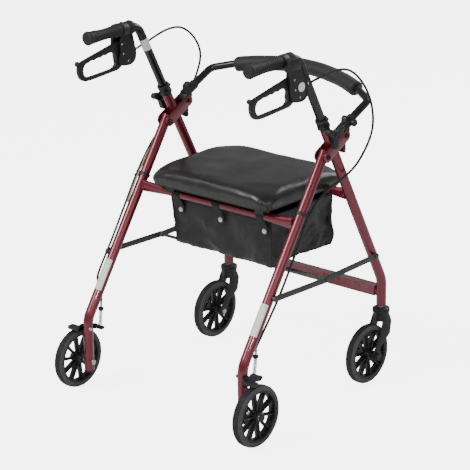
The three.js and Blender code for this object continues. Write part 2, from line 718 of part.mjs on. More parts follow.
const besideRearLeg = (out, ahead, z) => at(HALF_TRACK + out, rearAxisY(z) + ahead, z);

const CABLE_POINTS = {
  right: [
    at(271.5, -23, 830),
    at(278, 18, 839),
    at(284, 80, 845),
    at(286, 130, 828),
    at(286, 178, 780),
    at(285, 206, 720),
    at(284, 204, 662),
    at(280, 165, 606),
    at(277, 118, 577),
    at(272, 48, 553),
    besideRearLeg(10, 17, 510),
    besideRearLeg(2, 22, 440),
    besideRearLeg(0, 22, 330),
    ADJUSTER_TOP,
  ],
  left: [
    at(271.5, -23, 830),
    at(276, 20, 838),
    at(283, 100, 852),
    at(284, 158, 846),
    at(284, 205, 810),
    at(284, 226, 760),
    at(284, 200, 700),
    at(283, 150, 655),
    at(283, 92, 615),
    at(279, 35, 580),
    besideRearLeg(13, -17, 520),
    besideRearLeg(11, -18, 440),
    besideRearLeg(8, -20, 370),
    besideRearLeg(9, -20, 310),
    besideRearLeg(18, -3, 276),
    besideRearLeg(12, 16, 252),
    ADJUSTER_TOP,
  ],
};

function brakeCable(side) {
  const points = CABLE_POINTS[sideName(side)].map((p) => at(side * p.x, p.y, p.z));
  return build([tubeAlong(new SmoothPath(points, 34), CABLE_D, 0, 5)]);
}

// ---------------------------------------------------------------- wheels and castors

// Solid tyre. A flat of its tread lies on the floor.
function tyre(x, y, side) {
  const r = WHEEL_D / 2 / Math.cos(Math.PI / WHEEL_SIDES);
  const w = TYRE_WIDTH / 2;
  const seat = WHEEL_D / 2 - RIM_DEPTH;
  const profile = [
    [-w, seat],
    [-w, r - 7],
    [-w + 5, r],
    [w - 5, r],
    [w, r - 7],
    [w, seat],
    [-w, seat],
  ];
  return turned(profile, x, y, AXLE_Z, side);
}

// Wheel centre: rim, hub and tapered spokes.
function wheel(x, y, side, hubHalf) {
  const rimOut = WHEEL_D / 2 - RIM_DEPTH - GAP;
  const rimIn = rimOut - 6;
  const w = TYRE_WIDTH / 2 - 1;
  const hubR = 14;
  const boreR = BOLT_HOLE_D / 2;
  const rimProfile = [[-w, rimIn], [-w, rimOut], [w, rimOut], [w, rimIn], [-w, rimIn]];
  const endR = HUB_END_D / 2;
  const half = w + 2;
  const hubProfile = [
    [-hubHalf, boreR],
    [-hubHalf, endR],
    [-half, hubR],
    [half, hubR],
    [hubHalf, endR],
    [hubHalf, boreR],
    [-hubHalf, boreR],
  ];
  const rim = turned(rimProfile, x, y, AXLE_Z, side);
  const hub = turned(hubProfile, x, y, AXLE_Z, side, 12);
  const spokes = [];
  for (let i = 0; i < SPOKES; i++) {
    const outline = sideShape([[hubR - 3, -5], [rimIn + 2, -3], [rimIn + 2, 3], [hubR - 3, 5]]);
    const spoke = sidePlate(outline, -6, 6).rotateX(SPOKE_PHASE + (2 * Math.PI * i) / SPOKES);
    spokes.push(spoke.translate(x, y, AXLE_Z));
  }
  return build([rim, hub, ...spokes]);
}

function forkArmShape(axle) {
  const shape = new THREE.Shape();
  shape.moveTo(FRONT_Y - 18, ARM_TOP_Z);
  shape.lineTo(axle.y - 4, axle.z + 11);
  shape.absarc(axle.y, axle.z, 11.5, Math.PI * 0.65, Math.PI * 1.85, false);
  shape.lineTo(axle.y + 24, axle.z + 20);
  shape.quadraticCurveTo(FRONT_Y + 16, 118, FRONT_Y + 19, ARM_TOP_Z);
  return shape;
}

// One arm of the fork, leaning outwards on its way down to the axle's boss.
function forkArm(x, face, axle) {
  const inner = x + face * FORK_HALF_GAP;
  const arm = sidePlate(forkArmShape(axle), inner, inner + face * FORK_ARM_T);
  const bossTop = axle.z + 13;
  const spots = arm.attributes.position;
  for (let i = 0; i < spots.count; i++) {
    const down = THREE.MathUtils.clamp((ARM_TOP_Z - spots.getZ(i)) / (ARM_TOP_Z - bossTop), 0, 1);
    spots.setX(i, spots.getX(i) + face * FORK_FLARE * down);
  }
  return arm;
}

// Castor fork: bearing cup, neck and two arms that trail to the axle.
function castorFork(side) {
  const x = side * HALF_TRACK;
  const axle = { y: FRONT_Y - CASTOR_TRAIL, z: AXLE_Z };
  const cup = upright(x, FRONT_Y, FORK_TOP_Z - 11, FORK_TOP_Z, 44);
  const neck = upright(x, FRONT_Y, 146, FORK_TOP_Z - 5, 39);
  const recess = upright(x, FRONT_Y, FORK_TOP_Z - 5, FORK_TOP_Z + 3, 22);
  const bore = upright(x, FRONT_Y, 120, FORK_TOP_Z + 3, 11, TUBE_SIDES);
  const nutRoom = upright(x, FRONT_Y, 120, FORK_TOP_Z - 28, 19, TUBE_SIDES);
  const arms = [1, -1].map((face) => forkArm(x, face, axle));
  const wheelRoom = crossBar(x - FORK_HALF_GAP, x + FORK_HALF_GAP, axle.y, axle.z, WHEEL_D + 8, WHEEL_SIDES);
  const axleHole = crossBar(x - 40, x + 40, axle.y, axle.z, BOLT_HOLE_D, 12);
  return build([cup, neck, ...arms], [recess, bore, nutRoom, wheelRoom, axleHole]);
}

function castorAxle(side) {
  const x = side * HALF_TRACK;
  const reach = FORK_HALF_GAP + FORK_FLARE + FORK_ARM_T + GAP;
  const y = FRONT_Y - CASTOR_TRAIL;
  const shank = crossBar(x - reach, x + reach, y, AXLE_Z, BOLT_D, 12);
  const head = crossBar(x + side * reach, x + side * (reach + CASTOR_CAP_LENGTH), y, AXLE_Z, AXLE_CAP_D, 12);
  const nut = crossBar(x - side * reach, x - side * (reach + 5), y, AXLE_Z, 14, 6);
  return build([shank, head, nut]);
}

function addWheels(side) {
  const name = sideName(side);
  const rearX = side * (HALF_TRACK + WHEEL_OFFSET);
  const frontX = side * HALF_TRACK;
  const frontY = FRONT_Y - CASTOR_TRAIL;
  const rearPlace = at(rearX, REAR_Y, AXLE_Z);
  addPiece(`rear_wheel_${name}`, wheel(rearX, REAR_Y, side, REAR_HUB_HALF), blackPlastic(), rearPlace);
  addPiece(`rear_tyre_${name}`, tyre(rearX, REAR_Y, side), rubber(), rearPlace.clone());
  const hubHalf = FORK_HALF_GAP + FORK_FLARE - 4 * GAP;
  const frontWheel = wheel(frontX, frontY, side, hubHalf);
  addPiece(`front_wheel_${name}`, frontWheel, blackPlastic(), at(frontX, frontY, AXLE_Z));
  addPiece(`front_tyre_${name}`, tyre(frontX, frontY, side), rubber(), at(frontX, frontY, AXLE_Z));
  addPiece(`castor_fork_${name}`, castorFork(side), blackPlastic(), at(frontX, FRONT_Y, FORK_TOP_Z));
  addPiece(`castor_axle_${name}`, castorAxle(side), steel(), at(frontX, frontY, AXLE_Z));
}

// ---------------------------------------------------------------- backrest

// A point in the backrest's own plane: x across, reach along the hoop from the pivot line.
function hoopPoint(x, reach) {
  const c = Math.cos(BACKREST_TILT);
  const s = Math.sin(BACKREST_TILT);
  const y = BACKREST_PIVOT.y + reach * c - BACKREST_AXIS_RISE * s;
  const z = BACKREST_PIVOT.z + reach * s + BACKREST_AXIS_RISE * c;
  return at(x, y, z);
}

class PadBow extends BentPath {
  constructor(halfSpan, steps) {
    super([hoopPoint(-halfSpan, PAD_REACH), hoopPoint(halfSpan, PAD_REACH)], 1);
    this.samples = [];
    for (let i = 0; i <= steps; i++) {
      const across = -1 + (2 * i) / steps;
      const bow = PAD_BOW * (1 - across * across);
      this.samples.push(hoopPoint(across * halfSpan, PAD_REACH + bow));
    }
  }
}

function backrestBar() {
  const corners = [-1, 1].map((side) => hoopPoint(side * HALF_TRACK, HOOP_CORNER_REACH));
  const starts = [-1, 1].map((side) => hoopPoint(side * HALF_TRACK, 12));
  const bow = new PadBow(PAD_HALF_SPAN, 8);
  const path = new BentPath([starts[0], corners[0], bow.samples[0]], 22, 3);
  const other = new BentPath([bow.samples[8], corners[1], starts[1]], 22, 3);
  const whole = new BentPath([starts[0], starts[1]], 1);
  whole.samples = [...path.samples.slice(0, -1), ...bow.samples, ...other.samples.slice(1)];
  return build([tubeAlong(whole, BACKREST_TUBE_D, 0, 12)]);
}

function backrestPad() {
  const path = new PadBow(PAD_HALF_SPAN, 8);
  const { samples } = path;
  samples[0].lerp(samples[1], 0.1);
  samples[8].lerp(samples[7], 0.1);
  return build([tubeAlong(path, PAD_D, BACKREST_TUBE_D + 2.5, TUBE_SIDES)]);
}

// Plastic socket between the bracket plates: pivot boss, stop leg below, release lug above.
function backrestSocket(side) {
  const x = side * HALF_TRACK;
  const low = side * (HALF_TRACK - BRACKET_HALF_GAP + GAP);
  const high = side * (HALF_TRACK + BRACKET_HALF_GAP - GAP);
  const fromPivot = (y, z) => ({ y: BACKREST_PIVOT.y + y, z: BACKREST_PIVOT.z + z });
  const boss = sidePlate(barShape(BACKREST_PIVOT, fromPivot(6, 12), 22), low, high);
  const stop = sidePlate(barShape(BACKREST_PIVOT, fromPivot(1, -38), 12), x - 8, x + 8);
  const lug = sidePlate(barShape(fromPivot(8, 14), fromPivot(14, 36), 12), x - 7, x + 7);
  const sleeve = tubeAlong(straight(hoopPoint(x, 3), hoopPoint(x, 50)), 2 * (BRACKET_HALF_GAP - GAP), 0, 16);
  const button = crossBar(x, x + side * 22, hoopPoint(x, 34).y, hoopPoint(x, 34).z, 15, 14);
  const bore = tubeAlong(straight(hoopPoint(x, 11), hoopPoint(x, 60)), BACKREST_TUBE_D + 2 * GAP, 0, 12);
  const hole = crossBar(x - 30, x + 30, BACKREST_PIVOT.y, BACKREST_PIVOT.z, BOLT_HOLE_D, 12);
  return build([boss, stop, lug, sleeve, button], [bore, hole]);
}

// ---------------------------------------------------------------- the walker

for (const side of [-1, 1]) {
  addFrontFrame(side);
  addRearFrame(side);
  addLinks(side);
  addHandle(side);
  addWheels(side);
  const socketPlace = at(side * HALF_TRACK, BACKREST_PIVOT.y, BACKREST_PIVOT.z);
  addPiece(`backrest_socket_${sideName(side)}`, backrestSocket(side), blackPlastic(), socketPlace);
  addPiece(`brake_cable_${sideName(side)}`, brakeCable(side), rubber());
}
addPiece("front_seat_rail", roundRail(FRONT_RAIL), redPaint(), at(0, FRONT_RAIL.y, FRONT_RAIL.z));
addPiece("rear_seat_rail", roundRail(REAR_RAIL), redPaint(), at(0, REAR_RAIL.y, REAR_RAIL.z));
addPiece("lower_front_rail", lowerRail(), redPaint(), at(0, LOWER_RAIL.y, LOWER_RAIL.z));
addPiece("cross_rod", crossRod(), greyPaint(), at(0, LINK_MIDDLE.y, LINK_MIDDLE.z));
for (const side of [-1, 1]) {
  const place = at(side * (SEAT.halfWidth - 41), FRONT_RAIL.y, FRONT_RAIL.z);
  addPiece(`seat_clip_${sideName(side)}`, seatClip(side), blackPlastic(), place);
}
addPiece("seat_pan", seatPan(), blackPlastic(), at(0, FRONT_RAIL.y, FRONT_RAIL.z));
addPiece("seat_pad", build([seatLayer(0, SEAT.deck + GAP, SEAT.top)]), vinyl(), at(0, 0, SEAT.deck));
addPiece("bag", bag(), fabric(), at(0, 0, BAG.bottom));
addPiece("backrest_bar", backrestBar(), blackPaint(), hoopPoint(0, 0));
addPiece("backrest_pad", backrestPad(), vinyl(), hoopPoint(0, PAD_REACH));

export default walker;
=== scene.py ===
"""Looks of the folding walking frame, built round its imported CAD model. Metres, in the CAD frame."""

import json
import math

import bmesh
import bpy
import numpy as np
from mathutils.bvhtree import BVHTree
from mathutils import Matrix, Vector, noise


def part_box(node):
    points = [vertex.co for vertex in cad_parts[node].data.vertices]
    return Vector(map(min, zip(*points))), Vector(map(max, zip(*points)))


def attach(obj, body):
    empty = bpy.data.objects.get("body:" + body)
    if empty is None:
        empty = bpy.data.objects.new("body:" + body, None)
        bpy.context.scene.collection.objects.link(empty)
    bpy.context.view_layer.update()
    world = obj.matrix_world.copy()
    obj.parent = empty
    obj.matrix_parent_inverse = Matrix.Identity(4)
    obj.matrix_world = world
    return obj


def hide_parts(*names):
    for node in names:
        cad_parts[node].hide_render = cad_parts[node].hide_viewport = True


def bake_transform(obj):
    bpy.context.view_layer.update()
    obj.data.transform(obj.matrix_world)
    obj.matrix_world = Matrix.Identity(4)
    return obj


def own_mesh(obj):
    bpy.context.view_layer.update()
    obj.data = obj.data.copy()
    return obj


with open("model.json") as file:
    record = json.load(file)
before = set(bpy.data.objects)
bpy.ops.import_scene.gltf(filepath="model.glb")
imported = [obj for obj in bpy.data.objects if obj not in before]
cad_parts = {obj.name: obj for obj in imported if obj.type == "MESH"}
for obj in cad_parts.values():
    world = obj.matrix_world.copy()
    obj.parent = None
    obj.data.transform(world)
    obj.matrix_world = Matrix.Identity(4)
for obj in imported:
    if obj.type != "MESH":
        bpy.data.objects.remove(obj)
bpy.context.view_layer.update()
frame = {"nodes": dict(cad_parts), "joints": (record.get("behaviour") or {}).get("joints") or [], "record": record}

# ------------------------------------------------------------------ places, from the frame

MM = 0.001
SIDES = (("right", 1), ("left", -1))
JOINTS = {j["name"]: j for j in frame["joints"]}
RECORD = frame["record"]
SLOT_OF = {s["node"]: s["material_slot"] for s in RECORD["subparts"]}
BODY_OF = {n: b for b, nodes in RECORD["behaviour"]["bodies"].items() for n in nodes}


def pivot(joint):
    return Vector(JOINTS[joint]["pos_m"])


KNOB = pivot("knob_turn_right")
CASTOR = pivot("castor_swivel_right")
FOLD = pivot("frame_fold")
BACKREST = pivot("backrest_fold")
LEVER = pivot("lever_squeeze_right")
REAR_HUB = pivot("rear_wheel_spin_right")
FRONT_HUB = pivot("front_wheel_spin_right")
SEAT_HINGE = pivot("seat_flip")
ARM = pivot("brake_arm_swing_right")
LINK_FRONT = pivot("front_links_swing")
LINK_REAR = pivot("rear_links_swing")
SLIDE = Vector(JOINTS["handle_slide_right"]["axis"]).normalized()

TRACK = KNOB.x
LEG_R = 12.7 * MM
HANDLE_R = 10.8 * MM
RAIL_R = 9.5 * MM
REAR_BEND_Z = 187 * MM
LEAN = math.atan2(-SLIDE.y, SLIDE.z)
SPOKES = 10


def middle(node):
    low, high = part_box(node)
    return (low + high) / 2


def front_axis(z):
    """Side-view y of the front leg's and handle tube's common axis at height z."""
    return KNOB.y + (z - KNOB.z) * SLIDE.y / SLIDE.z


FRONT_BEND_Z = KNOB.z + (CASTOR.y - KNOB.y) * SLIDE.z / SLIDE.y
LEG_TOP_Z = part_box("front_leg_right")[1].z - LEG_R * math.sin(LEAN)
HANDLE_Z = middle("grip_right").z
GRIP_LOW, GRIP_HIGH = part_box("grip_right")
REAR_RAIL = middle("rear_seat_rail")
LOWER_RAIL = middle("lower_front_rail")
ROD = middle("cross_rod")


def rear_axis(z):
    """Side-view y of the rear leg's axis at height z, above its bend."""
    return REAR_HUB.y + (z - REAR_BEND_Z) * (FOLD.y - REAR_HUB.y) / (FOLD.z - REAR_BEND_Z)


# ------------------------------------------------------------------ materials


class Look:
    """A node material made up in layers over one Principled shader."""

    def __init__(self, name, colour, roughness, metallic=0.0):
        self.material = bpy.data.materials.new(name)
        self.material.use_nodes = True
        self.tree = self.material.node_tree
        self.shader = self.tree.nodes["Principled BSDF"]
        self.shader.inputs["Metallic"].default_value = metallic
        self.shader.inputs["Roughness"].default_value = roughness
        self.shader.inputs["Base Color"].default_value = (*colour, 1)
        self.place = self.add("ShaderNodeTexCoord").outputs["Object"]
        self.normal = None

    def add(self, kind, **settings):
        node = self.tree.nodes.new(kind)
        for key, value in settings.items():
            if key in node.inputs:
                node.inputs[key].default_value = value
            else:
                setattr(node, key, value)
        return node

    def link(self, source, node, socket):
        self.tree.links.new(source, node.inputs[socket])

    def noise(self, scale, detail=3.0, stretch=(1, 1, 1)):
        mapping = self.add("ShaderNodeMapping")
        mapping.inputs["Scale"].default_value = stretch
        self.link(self.place, mapping, "Vector")
        texture = self.add("ShaderNodeTexNoise", Scale=scale, Detail=detail)
        self.link(mapping.outputs["Vector"], texture, "Vector")
        return texture.outputs["Fac"]

    def cells(self, scale, feature="F1"):
        texture = self.add("ShaderNodeTexVoronoi", Scale=scale)
        texture.feature = feature
        self.link(self.place, texture, "Vector")
        return texture.outputs["Distance"]

    def waves(self, scale, axis, distortion=0.0):
        texture = self.add("ShaderNodeTexWave", Scale=scale, Distortion=distortion)
        texture.bands_direction = axis
        self.link(self.place, texture, "Vector")
        return texture.outputs["Fac"]

    def ranged(self, value, low, high, from_low=0.3, from_high=0.7):
        node = self.add("ShaderNodeMapRange")
        for key, number in zip(("From Min", "From Max", "To Min", "To Max"), (from_low, from_high, low, high)):
            node.inputs[key].default_value = number
        self.link(value, node, "Value")
        return node.outputs["Result"]

    def multiply(self, a, b, operation="MULTIPLY"):
        node = self.add("ShaderNodeMath", operation=operation)
        self.tree.links.new(a, node.inputs[0])
        self.tree.links.new(b, node.inputs[1])
        return node.outputs[0]

    def tint(self, factor, colour):
        """Mixes a colour over what the base colour is so far."""
        mix = self.add("ShaderNodeMix", data_type="RGBA")
        base = self.shader.inputs["Base Color"]
        if base.links:
            self.tree.links.new(base.links[0].from_socket, mix.inputs[6])
        else:
            mix.inputs[6].default_value = base.default_value
        mix.inputs[7].default_value = (*colour, 1)
        self.tree.links.new(factor, mix.inputs[0])
        self.tree.links.new(mix.outputs[2], base)
        return self

    def rough(self, value):
        self.link(value, self.shader, "Roughness")
        return self

    def bump(self, height, distance, strength=1.0):
        node = self.add("ShaderNodeBump", Distance=distance, Strength=strength)
        self.link(height, node, "Height")
        if self.normal:
            self.link(self.normal, node, "Normal")
        self.normal = node.outputs["Normal"]
        self.link(self.normal, self.shader, "Normal")
        return self

    def worn_edges(self, colour, amount):
        """Paler rubbed edges, broken up by a coarse noise."""
        edge = self.add("ShaderNodeNewGeometry").outputs["Pointiness"]
        edge = self.ranged(edge, 0.0, amount, 0.53, 0.62)
        return self.tint(self.multiply(edge, self.ranged(self.noise(90), 0.2, 1.0)), colour)

    def set(self, **values):
        for key, value in values.items():
            self.shader.inputs[key.replace("_", " ")].default_value = value
        return self


def red_paint():
    look = Look("red_metallic_paint", (0.15, 0.008, 0.02), 0.34, 0.5)
    look.set(Coat_Weight=0.8, Coat_Roughness=0.05)
    look.tint(look.ranged(look.cells(2600), 0.0, 0.22, 0.1, 0.6), (0.34, 0.03, 0.055))
    look.tint(look.ranged(look.noise(14), 0.0, 0.25), (0.11, 0.006, 0.018))
    look.rough(look.ranged(look.noise(60), 0.26, 0.4))
    look.bump(look.noise(420, 1.0), 0.00006, 0.5)
    return look.worn_edges((0.34, 0.1, 0.12), 0.5).material


def black_paint():
    look = Look("black_tube_paint", (0.003, 0.003, 0.0033), 0.3, 0.1)
    look.set(Coat_Weight=0.3, Coat_Roughness=0.05)
    look.rough(look.ranged(look.noise(50), 0.24, 0.38))
    look.bump(look.noise(380, 1.0), 0.00005, 0.4)
    return look.worn_edges((0.05, 0.05, 0.052), 0.4).material


def link_paint():
    look = Look("grey_link_paint", (0.05, 0.055, 0.055), 0.45, 0.35)
    look.tint(look.ranged(look.noise(35), 0.0, 0.5), (0.034, 0.037, 0.037))
    look.rough(look.ranged(look.noise(80), 0.4, 0.6))
    look.bump(look.noise(1500, 2.0), 0.00006, 0.5)
    return look.worn_edges((0.2, 0.2, 0.2), 0.6).material


def plated_steel():
    look = Look("zinc_plated_steel", (0.62, 0.63, 0.64), 0.28, 1.0)
    look.tint(look.ranged(look.noise(120), 0.0, 0.5), (0.4, 0.41, 0.42))
    look.rough(look.ranged(look.noise(400, 3.0, (1, 9, 9)), 0.2, 0.42))
    return look.bump(look.noise(900, 2.0, (1, 8, 8)), 0.00004, 0.4).material


def dark_steel():
    look = Look("blackened_steel", (0.03, 0.03, 0.032), 0.36, 0.9)
    look.tint(look.ranged(look.noise(150), 0.0, 0.5), (0.015, 0.015, 0.016))
    look.bump(look.noise(900, 2.0), 0.00004, 0.4)
    return look.worn_edges((0.25, 0.25, 0.25), 0.5).material


def black_plastic():
    look = Look("black_moulded_plastic", (0.006, 0.0062, 0.0062), 0.42)
    look.tint(look.ranged(look.noise(25), 0.0, 0.5), (0.011, 0.0115, 0.012))
    look.rough(look.ranged(look.noise(140), 0.38, 0.56))
    look.bump(look.cells(1700), 0.00008, 0.55)
    return look.worn_edges((0.04, 0.041, 0.042), 0.5).material


def wheel_plastic():
    look = Look("wheel_plastic", (0.005, 0.0052, 0.0055), 0.36)
    look.rough(look.ranged(look.noise(90), 0.3, 0.5))
    look.tint(look.ranged(look.noise(45), 0.0, 0.4), (0.012, 0.012, 0.0125))
    look.bump(look.noise(1300), 0.00007, 0.5)
    return look.worn_edges((0.06, 0.06, 0.06), 0.5).material


def grip_rubber():
    look = Look("grip_rubber", (0.006, 0.006, 0.0064), 0.6)
    look.tint(look.ranged(look.noise(220), 0.0, 0.5), (0.012, 0.012, 0.0126))
    look.bump(look.cells(900), 0.0003, 0.6)
    return look.bump(look.noise(2600), 0.0001, 0.4).material


def tyre_rubber():
    look = Look("tyre_rubber", (0.007, 0.007, 0.0075), 0.55)
    look.tint(look.ranged(look.noise(28), 0.0, 0.55), (0.014, 0.014, 0.0145))
    look.rough(look.ranged(look.noise(70), 0.62, 0.84))
    look.bump(look.noise(1100, 4.0), 0.00014, 0.6)
    return look.worn_edges((0.11, 0.11, 0.11), 0.45).material


def tyre_wall():
    look = Look("tyre_sidewall", (0.06, 0.061, 0.063), 0.75)
    look.tint(look.ranged(look.noise(24), 0.0, 0.5), (0.082, 0.082, 0.083))
    look.rough(look.ranged(look.noise(70), 0.66, 0.86))
    return look.bump(look.noise(1000, 4.0), 0.00012, 0.5).material


def strand():
    look = Look("inner_strand", (0.45, 0.41, 0.24), 0.5)
    look.tint(look.ranged(look.noise(220), 0.0, 0.5), (0.3, 0.27, 0.15))
    return look.bump(look.waves(600, "DIAGONAL"), 0.0002, 0.5).material


def seat_vinyl():
    look = Look("seat_vinyl", (0.006, 0.006, 0.0064), 0.34)
    look.set(Coat_Weight=0.35, Coat_Roughness=0.16)
    look.tint(look.ranged(look.noise(9), 0.0, 0.45), (0.01, 0.01, 0.0105))
    look.rough(look.ranged(look.noise(16), 0.32, 0.5))
    look.bump(look.cells(620, "DISTANCE_TO_EDGE"), 0.00022, 0.5)
    return look.bump(look.noise(55, 2.0), 0.0007, 0.22).material


def foam():
    look = Look("backrest_foam", (0.009, 0.009, 0.0097), 0.6)
    look.set(Sheen_Weight=0.15, Sheen_Roughness=0.5)
    look.tint(look.ranged(look.noise(30), 0.0, 0.5), (0.015, 0.015, 0.016))
    look.bump(look.cells(1400), 0.0002, 0.5)
    return look.bump(look.noise(70, 2.0), 0.0006, 0.25).material


def bag_cloth():
    look = Look("woven_nylon", (0.0045, 0.0045, 0.0052), 0.46)
    look.set(Sheen_Weight=0.06, Sheen_Roughness=0.4)
    weave = look.multiply(look.waves(210, "DIAGONAL"), look.waves(300, "Z"), "MAXIMUM")
    look.tint(look.ranged(weave, 0.0, 0.5, 0.2, 0.9), (0.011, 0.011, 0.0125))
    look.tint(look.ranged(look.noise(11), 0.0, 0.35), (0.004, 0.004, 0.0048))
    look.bump(weave, 0.00022, 0.6)
    return look.bump(look.noise(38, 3.0), 0.0016, 0.35).material


def webbing():
    look = Look("strap_webbing", (0.007, 0.007, 0.0075), 0.66)
    look.tint(look.ranged(look.noise(160), 0.0, 0.5), (0.016, 0.016, 0.017))
    return look.bump(look.waves(420, "Z", 0.6), 0.0004, 0.8).material


def thread():
    look = Look("seam_thread", (0.045, 0.045, 0.047), 0.6)
    look.tint(look.ranged(look.noise(300), 0.0, 0.6), (0.09, 0.09, 0.092))
    return look.bump(look.waves(900, "DIAGONAL"), 0.0002, 0.7).material


def blank_label():
    look = Look("blank_label", (0.85, 0.85, 0.84), 0.35)
    look.set(Coat_Weight=0.5, Coat_Roughness=0.1)
    look.tint(look.ranged(look.noise(60), 0.0, 0.4), (0.7, 0.7, 0.69))
    return look.bump(look.noise(240), 0.00008, 0.4).material


LOOKS = {
    "frame_paint": red_paint(),
    "black_tube": black_paint(),
    "link_paint": link_paint(),
    "steel": plated_steel(),
    "black_plastic": black_plastic(),
    "grip_rubber": grip_rubber(),
    "tyre": tyre_rubber(),
    "seat_vinyl": seat_vinyl(),
    "pad_foam": foam(),
    "bag_cloth": bag_cloth(),
}
WHEEL_LOOK = wheel_plastic()
WEBBING = webbing()
THREAD = thread()
LABEL = blank_label()
DARK_STEEL = dark_steel()
TYRE_WALL = tyre_wall()
STRAND = strand()

# ------------------------------------------------------------------ mesh tools


def bent(corners, radius, steps=8):
    """Straight runs through the corners, with a round bend at each one."""
    points = [Vector(corners[0])]
    for before, corner, after in zip(corners, corners[1:], corners[2:]):
        corner = Vector(corner)
        back = (Vector(before) - corner).normalized()
        ahead = (Vector(after) - corner).normalized()
        half = back.angle(ahead) / 2
        centre = corner + (back + ahead).normalized() * (radius / math.sin(half))
        start = corner + back * (radius / math.tan(half)) - centre
        end = corner + ahead * (radius / math.tan(half)) - centre
        axis = start.cross(end).normalized()
        sweep = start.angle(end)
        points += [centre + Matrix.Rotation(sweep * k / steps, 3, axis) @ start for k in range(steps + 1)]
    return points + [Vector(corners[-1])]


def smooth_line(points, per_span=8):
    """A curve through the points, with a Catmull-Rom spline."""
    points = [Vector(p) for p in points]
    ends = [points[0] * 2 - points[1]] + points + [points[-1] * 2 - points[-2]]
    line = []
    for a, b, c, d in zip(ends, ends[1:], ends[2:], ends[3:]):
        for k in range(per_span):
            t = k / per_span
            line.append(
                0.5 * (2 * b + (c - a) * t + (2 * a - 5 * b + 4 * c - d) * t**2 + (3 * b - a - 3 * c + d) * t**3)
            )
    return line + [points[-1]]


def arc(centre, radius, start, end, steps=8):
    """Points of an arc in the side view, angles in degrees."""
    angles = [math.radians(start + (end - start) * k / steps) for k in range(steps + 1)]
    return [(centre[0] + radius * math.cos(a), centre[1] + radius * math.sin(a)) for a in angles]


def capsule(a, b, radius_a, radius_b=None):
    """Outline round two circles in the side view."""
    radius_b = radius_b or radius_a
    along = math.degrees(math.atan2(b[1] - a[1], b[0] - a[0]))
    return arc(b, radius_b, along - 90, along + 90) + arc(a, radius_a, along + 90, along + 270)


def rounded(points, radius, steps=4):
    """A closed side-view outline with its corners rounded."""
    outline = []
    for i, corner in enumerate(points):
        corner = Vector((*corner, 0))
        back = Vector((*points[i - 1], 0)) - corner
        ahead = Vector((*points[(i + 1) % len(points)], 0)) - corner
        reach = min(radius, back.length * 0.45, ahead.length * 0.45)
        a, b = corner + back.normalized() * reach, corner + ahead.normalized() * reach
        for k in range(steps + 1):
            t = k / steps
            p = a * (1 - t) ** 2 + corner * 2 * t * (1 - t) + b * t**2
            outline.append((p.x, p.y))
    return outline


